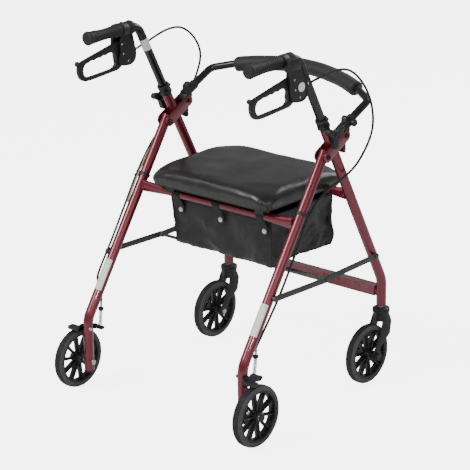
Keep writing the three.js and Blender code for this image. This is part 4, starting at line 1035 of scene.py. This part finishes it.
def lever(name, side):
    """Loop lever with finger scallops under its top bar and a ball at its tip."""
    node = f"brake_lever_{name}"
    hoop = traced(
        (-62, 838), (-64, 860), (-98, 860), (-214, 836), (-232, 832, -230, 812), (-226, 788, -206, 785), (-188, 784),
        (-96, 790), (-78, 793, -70, 812),
    )
    opening = traced(
        (-112, 838), (-98, 834, -99, 818), (-98, 800, -116, 797), (-192, 793), (-212, 794, -212, 812), (-211, 828, -194, 829),
    )
    for k in range(1, 40):
        share = k / 40
        y, z = -194 + 82 * share, 829 + 9 * share
        opening.append((y * MM, (z + 2.2 * abs(math.sin(math.pi * share * 4)) - 0.6) * MM))
    x0, x1 = side * (LEVER.x - 4.6 * MM), side * (LEVER.x + 4.6 * MM)
    shape = Shape().plate([hoop, opening], x0, x1, 1.7 * MM)
    ball(shape, (side * LEVER.x, -230 * MM, 832 * MM), 6.5 * MM)
    stand_for(shape.make(f"brake_lever_loop_{name}", look_of(node), 50), node)


def knob(name, side):
    node = f"height_knob_{name}"
    outline = []
    for k in range(3):
        a = KNOB_LOBES[name] + 120 * k
        spot = (KNOB.y + 25 * MM * math.cos(math.radians(a)), KNOB.z + 25 * MM * math.sin(math.radians(a)))
        outline += arc(spot, 8 * MM, a - 72, a + 72, 10)
        valley = math.radians(a + 60)
        outline.append((KNOB.y + 11.6 * MM * math.cos(valley), KNOB.z + 11.6 * MM * math.sin(valley)))
    base = TRACK + LEG_R + 5 * MM
    shape = Shape().plate([outline], side * base, side * (base + 16 * MM), 3 * MM)
    hub = [(0, 10.6 * MM), (1.4 * MM, 10.2 * MM), (2.2 * MM, 8 * MM), (1 * MM, 7.4 * MM), (1 * MM, 0)]
    shape.turn([(side * a, r) for a, r in hub], (side * (base + 15.8 * MM), KNOB.y, KNOB.z), segments=32)
    boss = [(TRACK + LEG_R + 1 * MM, 8.6 * MM), (TRACK + LEG_R + 3 * MM, 8.8 * MM), (base + 1 * MM, 9 * MM)]
    shape.turn([(side * a, r) for a, r in boss], (0, KNOB.y, KNOB.z), segments=32)
    stud = [(TRACK + HANDLE_R + 0.5 * MM, 3.9 * MM), (base, 3.9 * MM)]
    shape.turn([(side * a, r) for a, r in stud], (0, KNOB.y, KNOB.z), segments=20)
    stand_for(shape.make(f"height_knob_body_{name}", look_of(node), 50), node)


def cable(name, side):
    """Brake cable in two runs: housing to frame, then frame to rear leg."""
    node = f"brake_cable_{name}"
    points = [(side * x, y, z) for x, y, z in CABLE_RUNS[name]]
    line = smooth_line(scaled(points), 8)
    cut = CABLE_SPLIT * 8
    upper = Shape().sweep(line[: cut + 2], 3 * MM, 14, 0.6 * MM).make(f"cable_upper_{name}", LOOKS["black_plastic"])
    lower = Shape().sweep(line[cut:], 3 * MM, 14, 0.6 * MM).make(f"cable_lower_{name}", LOOKS["black_plastic"])
    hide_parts(node)
    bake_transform(upper)
    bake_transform(lower)
    clip_z = 509.5 * MM
    slope = (FOLD - Vector((FOLD.x, REAR_HUB.y, REAR_BEND_Z))).normalized()
    band = [
        (-4 * MM, LEG_R + 0.1 * MM), (-4 * MM, LEG_R + 1.4 * MM), (-3 * MM, LEG_R + 1.9 * MM), (3 * MM, LEG_R + 1.9 * MM),
        (4 * MM, LEG_R + 1.4 * MM), (4 * MM, LEG_R + 0.1 * MM),
    ]
    centre = Vector((side_x(side), rear_axis(clip_z), clip_z))
    clip = Shape().turn(band, centre, slope, 40, closed=True)
    nearest = min(line, key=lambda p: abs(p.z - clip_z))
    clip.sweep([centre, nearest + (nearest - centre).normalized() * 4 * MM], 3.6 * MM, 20, 1 * MM)
    if name == "left":
        beige = []
        for p in line[cut + 6 : (CABLE_SPLIT + 4) * 8]:
            p = p + Vector((6.5 * MM, -0.5 * MM, 1.6 * MM))
            axis = Vector((side_x(side), rear_axis(p.z), p.z))
            room = LEG_R + 3 * MM
            beige.append(p if (p - axis).length > room else axis + (p - axis).normalized() * room)
        piece = Shape().sweep(beige, 1.9 * MM, 12, 0.5 * MM).make("cable_strand_left", STRAND)
        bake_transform(piece)
    extra(clip.make(f"cable_clip_{name}", LOOKS["black_plastic"]), "rear_frame")


def brake_spring(name, side):
    """Coil spring, lock nut and cable adjuster over the brake arm's front end."""
    node = f"brake_spring_{name}"
    x = side_x(side)
    low, high = Vector((x, -201 * MM, 158.3 * MM)), Vector((x, -193 * MM, 223.6 * MM))
    run = high - low
    u = Vector((1, 0, 0))
    v = run.normalized().cross(u)
    turns = 11
    helix = []
    for k in range(turns * 14 + 1):
        a = 2 * math.pi * k / 14
        helix.append(low + run * (0.02 + 0.55 * k / (turns * 14)) + (u * math.cos(a) + v * math.sin(a)) * 3.9 * MM)
    shape = Shape().sweep(helix, 0.95 * MM, 8)
    shape.sweep([low, low + run * 0.7], 1.2 * MM, 12)
    shape.turn([(0.58 * run.length, 4.6 * MM), (0.6 * run.length, 4.6 * MM)], low, run, 24)
    shape.sweep([low + run * 0.72, high], 3.1 * MM, 24, 0.6 * MM)
    piece = shape.make(f"brake_spring_coil_{name}", look_of(node))
    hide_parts(node)
    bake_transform(piece)
    grooves = []
    for k in range(9):
        grooves += [((0.61 + 0.013 * k) * run.length, (6.6 if k % 2 else 7.3) * MM)]
    nut = Shape().turn(grooves, low, run, 6)
    extra(nut.make(f"adjuster_nut_{name}", LOOKS["black_plastic"]), "rear_frame")


def brake_arm(name, side):
    node = f"brake_arm_{name}"
    near = TRACK + LEG_R + 1.2 * MM
    y, z = ARM.y, ARM.z
    spots = [(-22, -4.5), (-4, -4.5), (42, -14), (47, -2), (-5, 12), (-22, 7)]
    outline = rounded([(y + a * MM, z + b * MM) for a, b in spots], 3 * MM)
    shape = Shape().plate([outline], side * near, side * (near + 7 * MM), 0.9 * MM)
    tyre_face = REAR_HUB.x + 12 * MM
    low_x, high_x = sorted((side * near, side * tyre_face))
    shape.block((low_x, y - 22 * MM, z - 4.4 * MM), (high_x, y - 4 * MM, z + 5 * MM), 1.4 * MM)
    low_x, high_x = sorted((side * (TRACK - 10 * MM), side * (near + 7 * MM)))
    shape.block((low_x, y + 35 * MM, z - 10 * MM), (high_x, y + 47 * MM, z - 3.1 * MM), 1.2 * MM)
    shape.turn([(side * (TRACK + 4 * MM), 2.9 * MM), (side * near, 2.9 * MM)], (0, y, z), segments=20)
    boss = [(side * (near + 6.6 * MM), 7.4 * MM), (side * (near + 8 * MM), 7 * MM), (side * (near + 8.6 * MM), 5 * MM)]
    shape.turn(boss, (0, y, z), segments=28)
    stand_for(shape.make(f"brake_shoe_arm_{name}", look_of(node)), node)
    head = [(TRACK - LEG_R - 2.4 * MM, 3 * MM), (TRACK - LEG_R - 1.8 * MM, 4.4 * MM), (TRACK - LEG_R + 1 * MM, 4.6 * MM)]
    pin = Shape().turn([(side * a, r) for a, r in head], (0, -247.6 * MM, 165.3 * MM), segments=24)
    extra(pin.make(f"arm_pin_head_{name}", LOOKS["steel"]), "rear_frame")


# ------------------------------------------------------------------ backrest

TILT = math.radians(24.6)
PAD_REACH, PAD_BOW, PAD_SPAN = 149.5 * MM, 45.25 * MM, 200 * MM


def hoop_point(x, reach):
    """A point on the hoop's axis: x across, reach along it from the pivot line."""
    rise = 14 * MM
    c, s = math.cos(TILT), math.sin(TILT)
    return Vector((x, BACKREST.y + reach * c - rise * s, BACKREST.z + reach * s + rise * c))


def bow_line(span, steps):
    shares = [-1 + 2 * k / steps for k in range(steps + 1)]
    return [hoop_point(s * span, PAD_REACH + PAD_BOW * (1 - (s * span / PAD_SPAN) ** 2)) for s in shares]


def backrest_bar():
    bow = bow_line(PAD_SPAN, 40)
    left = bent([hoop_point(-TRACK, 12 * MM), hoop_point(-TRACK, 119.5 * MM), bow[0]], 22 * MM, 10)
    right = [Vector((-p.x, p.y, p.z)) for p in reversed(left)]
    shape = Shape().sweep(left[:-1] + bow + right[1:], RAIL_R, 36, 0.5 * MM)
    stand_for(shape.make("backrest_hoop", look_of("backrest_bar")), "backrest_bar")


def socket(name, side):
    """Socket that holds the hoop's end: boss, stop leg, sleeve with grooves and the release button."""
    node = f"backrest_socket_{name}"
    x = side_x(side)
    low, high = side * (TRACK - 12.7 * MM), side * (TRACK + 12.7 * MM)

    def from_pivot(y, z):
        return (BACKREST.y + y * MM, BACKREST.z + z * MM)

    start = from_pivot(0, 0)
    shape = Shape().plate([capsule(start, from_pivot(6, 12), 11 * MM)], low, high, 1.2 * MM)
    shape.plate([capsule(start, from_pivot(1, -38), 6 * MM)], x - 8 * MM, x + 8 * MM, 1.4 * MM)
    shape.plate([capsule(from_pivot(8, 14), from_pivot(14, 36), 6 * MM, 8.4 * MM)], x - 8 * MM, x + 8 * MM, 2.4 * MM)
    along = (hoop_point(x, 60 * MM) - hoop_point(x, 0)).normalized()
    sleeve = [(3 * MM, 11 * MM), (4.4 * MM, 12.6 * MM), (38 * MM, 12.6 * MM), (39 * MM, 11.8 * MM), (41 * MM, 11.8 * MM),
              (42 * MM, 12.6 * MM), (48.6 * MM, 12.6 * MM), (50 * MM, 11.2 * MM), (50 * MM, 9.9 * MM)]
    shape.turn(sleeve, hoop_point(x, 0), along, 40)
    spot = hoop_point(x, 34 * MM)
    button = [(10 * MM, 7.5 * MM), (15 * MM, 7.5 * MM), (15.6 * MM, 9 * MM), (21 * MM, 9 * MM), (22.4 * MM, 7.4 * MM),
              (22 * MM, 5.6 * MM), (22 * MM, 0)]
    shape.turn([(side * a, r) for a, r in button], spot, segments=32)
    stand_for(shape.make(f"backrest_socket_body_{name}", look_of(node)), node)


# ------------------------------------------------------------------ soft goods


def applied(obj):
    """Puts the result of the modifiers into the object's own mesh."""
    mesh = bpy.data.meshes.new_from_object(obj.evaluated_get(bpy.context.evaluated_depsgraph_get()))
    obj.modifiers.clear()
    obj.data = mesh
    mesh.shade_smooth()
    return obj


def modified(obj, kind, **settings):
    modifier = obj.modifiers.new(kind.lower(), kind)
    for key, value in settings.items():
        setattr(modifier, key, value)
    return applied(obj)


def simulate(obj, pressure, cap, gravity=0.0, pinned=None, mass=0.3):
    """Cloth pass: swells or sags the mesh, with each point's travel eased off at the cap."""
    scene = bpy.context.scene
    start = [v.co.copy() for v in obj.data.vertices]
    modifier = obj.modifiers.new("cloth", "CLOTH")
    cloth = modifier.settings
    cloth.quality = 5
    cloth.mass = mass
    cloth.use_pressure = pressure > 0
    cloth.uniform_pressure_force = pressure
    cloth.effector_weights.gravity = gravity
    if pinned:
        obj.vertex_groups.new(name="pinned").add(pinned, 1.0, "REPLACE")
        cloth.vertex_group_mass = "pinned"
    modifier.point_cache.frame_end = 20
    for frame_number in range(1, 21):
        scene.frame_set(frame_number)
    moved = [v.co.copy() for v in obj.evaluated_get(bpy.context.evaluated_depsgraph_get()).data.vertices]
    obj.modifiers.clear()
    scene.frame_set(1)
    for vertex, a, b in zip(obj.data.vertices, start, moved):
        step = b - a
        if step.length > 1e-9:
            step *= cap * math.tanh(step.length / cap) / step.length
        vertex.co = a + step


def rounded_rectangle(half_x, y0, y1, radius, z, steps=10):
    points = []
    for cx, cy, first in ((half_x, y1, 0), (-half_x, y1, 90), (-half_x, y0, 180), (half_x, y0, 270)):
        cx -= math.copysign(radius, cx)
        cy += radius if cy == y0 else -radius
        points += [Vector((px, py, z)) for px, py in arc((cx, cy), radius, first, first + 90, steps)]
    return points


def surface_of(obj):
    mesh = obj.data
    return BVHTree.FromPolygons([v.co for v in mesh.vertices], [list(p.vertices) for p in mesh.polygons])


def seat_pad():
    """Vinyl-covered pad: swollen by the cloth pass, gathered at its rear corners, with a welted seam."""
    low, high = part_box("seat_pad")
    half_x = high.x
    layers = [(-13.4, 2.4), (-11, 0.2), (0, -1), (9, -0.8), (17, 0.8), (22.5, 3.8), (26, 9), (28, 17)]
    rings = []
    for up, inset in layers:
        inset = (inset - 5) * MM
        corner = (30 + max(0, up) * 0.7) * MM
        rings.append(rounded_rectangle(half_x - inset, low.y + inset, high.y - inset, corner, low.z + up * MM))
    pad = Shape().rings(rings).make("seat_cushion", LOOKS["seat_vinyl"])
    modified(pad, "REMESH", mode="VOXEL", voxel_size=0.0055)
    flat = [v.co.copy() for v in pad.data.vertices]
    simulate(pad, 4.0, 5 * MM)
    for vertex, before in zip(pad.data.vertices, flat):
        vertex.co.z = before.z + (vertex.co.z - before.z) * 0.35
    centre = (low + high) / 2
    for vertex in pad.data.vertices:
        p = vertex.co
        across = (p.x / half_x) ** 2
        along = ((p.y - centre.y) / (high.y - centre.y)) ** 2
        if p.z > low.z + 20 * MM:
            p.z += 2.6 * MM * max(0.0, 1 - across) * max(0.0, 1 - along)
        for corner_x, corner_y, droop in (
            (-half_x, low.y, 15), (half_x, low.y, 9), (-half_x, high.y, 9), (half_x, high.y, 9),
        ):
            far = math.hypot(p.x - corner_x, p.y - corner_y)
            share = max(0.0, min(1.0, (p.z - low.z) / (28 * MM)))
            p.z -= droop * MM * share * max(0.0, 1 - far / (95 * MM)) ** 1.5
        for corner_x in (-half_x, half_x):
            corner = Vector((corner_x * 0.9, low.y + 22 * MM))
            away = Vector((p.x, p.y)) - corner
            if away.length < 55 * MM:
                angle = math.atan2(away.y, away.x)
                fade = (1 - away.length / (55 * MM)) ** 0.8
                depth = 1 - min(1.0, max(0.0, (p.z - low.z + 10 * MM) / (36 * MM)))
                pull = 4.5 * MM * fade * depth * (0.5 + 0.5 * math.sin(angle * 24 + corner_x * 40))
                p.xy -= away.normalized() * pull
        p += Vector((0, 0, 1)) * noise.noise(p * 15) * 1.6 * MM * min(1.0, max(0.0, (p.z - low.z - 12 * MM) / (12 * MM)))
        if p.z < low.z + 18 * MM:
            p.xy += Vector((p.x, p.y - centre.y)).normalized() * noise.noise(p * 34) * 1.5 * MM
        p.z = max(p.z, low.z - 13.6 * MM)
        p.x = max(-half_x - 4 * MM, min(half_x + 4 * MM, p.x))
    modified(pad, "SUBSURF", levels=1, render_levels=1)
    pad.data.materials.clear()
    pad.data.materials.append(LOOKS["seat_vinyl"])
    stand_for(pad, "seat_pad")
    skin = surface_of(pad)
    for label, up, radius, look in (("seat_welt", -11.4, 1.3, LOOKS["seat_vinyl"]), ("seat_stitching", -8.4, 0.4, THREAD)):
        ring = rounded_rectangle(half_x + 8 * MM, low.y - 8 * MM, high.y + 8 * MM, 34 * MM, low.z + up * MM, 14)
        dense = []
        for a, b in zip(ring, ring[1:] + ring[:1]):
            count = max(1, int((b - a).length / (6 * MM)))
            dense += [a.lerp(b, k / count) for k in range(count)]
        spots = []
        for p in dense:
            hit = skin.ray_cast(p, (Vector((centre.x, centre.y, p.z)) - p).normalized())[0]
            spots.append(hit or p)
        welt = Shape()
        if label == "seat_welt":
            welt.rings(tube_rings(spots, radius * MM, 8), closed=True)
        else:
            for k in range(0, len(spots) - 1, 2):
                welt.sweep([spots[k], spots[k].lerp(spots[k + 1], 0.5), spots[k + 1]], radius * MM, 6)
        extra(welt.make(label, look), "seat")


def tube_rings(path, radius, sides):
    """Rings of a round cord along a closed path."""
    rings = []
    for k, point in enumerate(path):
        ahead = (path[(k + 1) % len(path)] - path[k - 1]).normalized()
        up = Vector((0, 0, 1)) if abs(ahead.z) < 0.9 else Vector((1, 0, 0))
        out = ahead.cross(up).normalized()
        other = ahead.cross(out)
        rings.append([point + (out * math.cos(a) + other * math.sin(a)) * radius
                      for a in (2 * math.pi * j / sides for j in range(sides))])
    return rings


def backrest_pad():
    """Foam sleeve on the hoop: closed ends, a sewn seam behind and slight hollows."""
    line = [p - Vector((0, 0, 2 * MM)) for p in bow_line(PAD_SPAN - 5 * MM, 56)]
    pad = Shape().sweep(line, 19.6 * MM, 32, 6 * MM).make("backrest_sleeve", LOOKS["pad_foam"])
    modified(pad, "REMESH", mode="VOXEL", voxel_size=0.0045)
    simulate(pad, 4.0, 3.6 * MM)
    for vertex in pad.data.vertices:
        vertex.co += vertex.normal * noise.noise(vertex.co * 28) * 0.9 * MM
    modified(pad, "SUBSURF", levels=1, render_levels=1)
    pad.data.materials.clear()
    pad.data.materials.append(LOOKS["pad_foam"])
    stand_for(pad, "backrest_pad")
    skin = surface_of(pad)
    stitches = Shape()
    seam = []
    for p in bow_line(PAD_SPAN - 14 * MM, 84):
        hit = skin.ray_cast(p + Vector((0, 0.02, -0.05)), Vector((0, -0.02, 0.05)).normalized())[0]
        seam.append(hit or p)
    for k in range(0, len(seam) - 1, 2):
        stitches.sweep([seam[k], seam[k].lerp(seam[k + 1], 0.5), seam[k + 1]], 0.6 * MM, 6)
    extra(stitches.make("backrest_seam", THREAD), "backrest")


BAG_LOW, BAG_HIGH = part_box("bag")
BAG_CELLS = (38, 26, 16)
STRAPS = (-126 * MM, 4 * MM, 144 * MM)


def bag_place(i, j, k):
    """Corner (i across, j from back to front, k down) of the bag's cloth before it hangs."""
    nx, ny, nz = BAG_CELLS
    down = k / nz
    front = BAG_HIGH.y - 14 * MM * max(0.0, 1 - down / 0.85)
    x = BAG_LOW.x + (BAG_HIGH.x - BAG_LOW.x) * i / nx
    y = BAG_LOW.y + (front - BAG_LOW.y) * j / ny
    z = BAG_HIGH.z + (BAG_LOW.z + 5 * MM - BAG_HIGH.z) * down
    pull = 6 * MM * (max(0.0, down - 0.72) / 0.28) ** 2
    edge_x = max(0.0, abs(2 * i / nx - 1) - 0.8) / 0.2
    x -= math.copysign(pull * edge_x, i - nx / 2)
    edge_y = max(0.0, abs(2 * j / ny - 1) - 0.8) / 0.2
    y -= math.copysign(pull * 0.6 * edge_y, j - ny / 2)
    if k == nz:
        sag = (1 - (2 * i / nx - 1) ** 2) * (1 - (2 * j / ny - 1) ** 2)
        z -= 4 * MM * sag
    nearest = min(abs(x - s) for s in STRAPS)
    if j == 0:
        z -= 3.2 * MM * (1 - down) * (1 - math.cos(2 * math.pi * min(nearest, 65 * MM) / (130 * MM))) / 2
    return Vector((x, y, z))


def bag():
    """Hanging cloth bag, open on top: sewn panels that sag, with piped edges, hem, straps and snaps."""
    nx, ny, nz = BAG_CELLS
    index = {}
    verts = []
    for i in range(nx + 1):
        for j in range(ny + 1):
            for k in range(nz + 1):
                if i in (0, nx) or j in (0, ny) or k == nz:
                    index[i, j, k] = len(verts)
                    verts.append(bag_place(i, j, k))
    faces = []
    for i in (0, nx):
        faces += [[index[i, j, k], index[i, j + 1, k], index[i, j + 1, k + 1], index[i, j, k + 1]]
                  for j in range(ny) for k in range(nz)]
    for j in (0, ny):
        faces += [[index[i, j, k], index[i + 1, j, k], index[i + 1, j, k + 1], index[i, j, k + 1]]
                  for i in range(nx) for k in range(nz)]
    faces += [[index[i, j, nz], index[i + 1, j, nz], index[i + 1, j + 1, nz], index[i, j + 1, nz]]
              for i in range(nx) for j in range(ny)]
    cloth = Shape().add(verts, faces).make("hanging_bag", LOOKS["bag_cloth"])
    rim = [index[i, j, k] for i, j, k in index if k < 2]
    simulate(cloth, 1.2, 9 * MM, 0.3, rim, 0.15)
    shifts = {}
    for (i, j, k), at in index.items():
        vertex = cloth.data.vertices[at]
        depth = k / nz
        p = vertex.co
        long_fold = noise.noise(Vector((p.x * 16 + p.z * 9, p.y * 16, p.z * 5)))
        crease = 1 - abs(noise.noise(Vector((p.x * 30 - p.z * 22, p.y * 30, p.z * 26)))) * 3
        gather = max(0.0, 1 - depth * 1.6) * math.sin(p.x * 330) * (j == 0)
        lift = long_fold * (3 + 26 * depth * (1 - depth)) + crease * 4.2 * min(1.0, depth * 2) + gather * 1.4
        shifts[at] = vertex.normal * lift * MM
    for at, shift in shifts.items():
        p = cloth.data.vertices[at].co
        p += shift
        below = BAG_LOW.z - p.z
        if below > 0:
            p.z = BAG_LOW.z - 3 * MM * math.tanh(below / (6 * MM))
    def edge(spots):
        return [cloth.data.vertices[index[s]].co.copy() for s in spots]
    runs = {}
    for label, i in (("right", nx), ("left", 0)):
        run = [(i, 0, k) for k in range(nz + 1)] + [(i, j, nz) for j in range(1, ny)] + [(i, ny, k) for k in range(nz, -1, -1)]
        runs[f"bag_piping_{label}"] = edge(run)
    hem = [(i, 0, 0) for i in range(nx)] + [(nx, j, 0) for j in range(ny)]
    hem += [(i, ny, 0) for i in range(nx, 0, -1)] + [(0, j, 0) for j in range(ny, 0, -1)]
    hem_line = edge(hem)
    modified(cloth, "SOLIDIFY", thickness=0.0022, offset=-1)
    modified(cloth, "SUBSURF", levels=1, render_levels=1)
    stand_for(cloth, "bag")
    pieces = [cloth]
    skin = surface_of(cloth)
    hem_line = [skin.find_nearest(p)[0] for p in hem_line]
    for label, line in runs.items():
        line = [skin.find_nearest(p)[0] for p in line]
        pieces.append(extra(Shape().sweep(line, 1.9 * MM, 10).make(label, WEBBING), "rear_frame"))
    hem_cord = Shape().rings(tube_rings(hem_line, 2.4 * MM, 8), closed=True).make("bag_hem", WEBBING)
    pieces.append(extra(hem_cord, "rear_frame"))
    for piece in pieces:
        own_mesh(piece)
    straps()


def ribbon(shape, line, x0, x1, thickness):
    """A flat strap that follows a side-view line."""
    normals = []
    for k in range(len(line)):
        a, b = Vector(line[max(k - 1, 0)]), Vector(line[min(k + 1, len(line) - 1)])
        step = (b - a).normalized()
        normals.append(Vector((-step.y, step.x)) * thickness / 2)
    points = [Vector(p) for p in line]
    outer = [tuple(p + n) for p, n in zip(points, normals)]
    inner = [tuple(p - n) for p, n in zip(points, normals)]
    return shape.plate([outer + inner[::-1]], x0, x1, 0.3 * MM)


def straps():
    """Webbing loops from the rear rail to snaps on the bag's back."""
    y, z = REAR_RAIL.y, REAR_RAIL.z
    back = BAG_LOW.y - 3.2 * MM
    wrap = arc((y, z), RAIL_R + 1.1 * MM, 205, 0, 12)
    line = [(back, 436 * MM), (back - 1 * MM, 452 * MM), (back - 7 * MM, 466 * MM)] + wrap
    line += [(y + RAIL_R + 1.6 * MM, z - 8 * MM)]
    for number, x in enumerate(STRAPS):
        shape = ribbon(Shape(), line, x - 11 * MM, x + 11 * MM, 1.5 * MM)
        extra(shape.make(f"bag_strap_{number}", WEBBING), "rear_frame")
        snap = [(0, 7 * MM), (0.8 * MM, 7 * MM), (1.6 * MM, 5.6 * MM), (1.8 * MM, 4.2 * MM), (1.2 * MM, 3.6 * MM), (1.4 * MM, 0)]
        metal = Shape().turn(snap, (x, back - 0.6 * MM, 446 * MM), (0, -1, 0), 32)
        extra(metal.make(f"bag_snap_{number}", LOOKS["steel"]), "rear_frame")


def carried_over():
    """CAD nodes whose own shape is kept get softened edges."""
    for node in ("seat_pan", "seat_clip_right", "seat_clip_left"):
        soften = frame["nodes"][node].modifiers.new("soft_edges", "BEVEL")
        soften.width = 1.2 * MM
        soften.segments = 2
        soften.limit_method = "ANGLE"


# ------------------------------------------------------------------ the scene


def stage():
    mesh = bpy.data.meshes.new("floor")
    reach = 14
    mesh.from_pydata([(-reach, -reach, 0), (reach, -reach, 0), (reach, reach, 0), (-reach, reach, 0)], [], [(0, 1, 2, 3)])
    floor = bpy.data.objects.new("floor", mesh)
    bpy.context.scene.collection.objects.link(floor)
    look = Look("pale_floor", (0.86, 0.86, 0.86), 0.75)
    look.tint(look.ranged(look.noise(3), 0.0, 0.3), (0.83, 0.83, 0.83))
    seen = look.add("ShaderNodeLightPath").outputs["Is Camera Ray"]
    look.link(look.ranged(seen, 0.0, 5.0, 0.0, 1.0), look.shader, "Emission Strength")
    look.set(Emission_Color=(1, 1, 1, 1))
    mesh.materials.append(look.material)


def area_light(name, place, target, size, power):
    light = bpy.data.lights.new(name, "AREA")
    light.size = size
    light.energy = power
    obj = bpy.data.objects.new(name, light)
    obj.location = place
    obj.rotation_mode = "QUATERNION"
    obj.rotation_quaternion = (Vector(target) - Vector(place)).to_track_quat("-Z", "Y")
    bpy.context.scene.collection.objects.link(obj)


def lights():
    world = bpy.data.worlds.new("studio")
    world.use_nodes = True
    world.node_tree.nodes["Background"].inputs["Color"].default_value = (0.95, 0.96, 0.97, 1)
    background = world.node_tree.nodes["Background"].inputs["Strength"]
    seen = world.node_tree.nodes.new("ShaderNodeLightPath").outputs["Is Camera Ray"]
    strength = world.node_tree.nodes.new("ShaderNodeMapRange")
    strength.inputs["To Min"].default_value = 0.34
    strength.inputs["To Max"].default_value = 2.2
    world.node_tree.links.new(seen, strength.inputs["Value"])
    world.node_tree.links.new(strength.outputs["Result"], background)
    bpy.context.scene.world = world
    centre = (0, 0, 0.45)
    area_light("key", (-1.2, -2.6, 3.0), centre, 1.8, 105)
    area_light("fill", (3.0, -1.0, 1.6), centre, 1.6, 13)
    area_light("strip", (2.2, -3.0, 2.6), centre, 0.22, 34)
    area_light("back", (0.4, 3.0, 2.4), centre, 2.2, 55)


def camera():
    """Seen from behind the walker, to its user's right."""
    azimuth, elevation, roll = math.radians(41.16), math.radians(18.87), math.radians(-0.78)
    data = bpy.data.cameras.new("camera")
    data.sensor_width = 36
    data.lens = 172.87
    data.clip_end = 60
    obj = bpy.data.objects.new("camera", data)
    back = Vector((
        math.sin(azimuth) * math.cos(elevation), -math.cos(azimuth) * math.cos(elevation), math.sin(elevation),
    ))
    obj.location = (3.46319, -3.9356, 2.18845)
    obj.rotation_mode = "QUATERNION"
    turn = (-back).to_track_quat("-Z", "Y")
    obj.rotation_quaternion = turn @ Matrix.Rotation(roll, 3, "Z").to_quaternion()
    bpy.context.scene.collection.objects.link(obj)
    bpy.context.scene.camera = obj


for node_name, node_object in frame["nodes"].items():
    node_object.data.materials.clear()
    node_object.data.materials.append(LOOKS[SLOT_OF[node_name]])
rails()
links()
for side_name, side_sign in SIDES:
    front_leg(side_name, side_sign)
    rear_leg(side_name, side_sign)
    collar(side_name, side_sign)
    frame_bolts(side_name, side_sign)
    rear_wheel(side_name, side_sign)
    castor(side_name, side_sign)
    handle_tube(side_name, side_sign)
    grip(side_name, side_sign)
    housing(side_name, side_sign)
    lever(side_name, side_sign)
    knob(side_name, side_sign)
    cable(side_name, side_sign)
    brake_spring(side_name, side_sign)
    brake_arm(side_name, side_sign)
    socket(side_name, side_sign)
backrest_bar()
seat_pad()
backrest_pad()
bag()
carried_over()
stage()
lights()
camera()
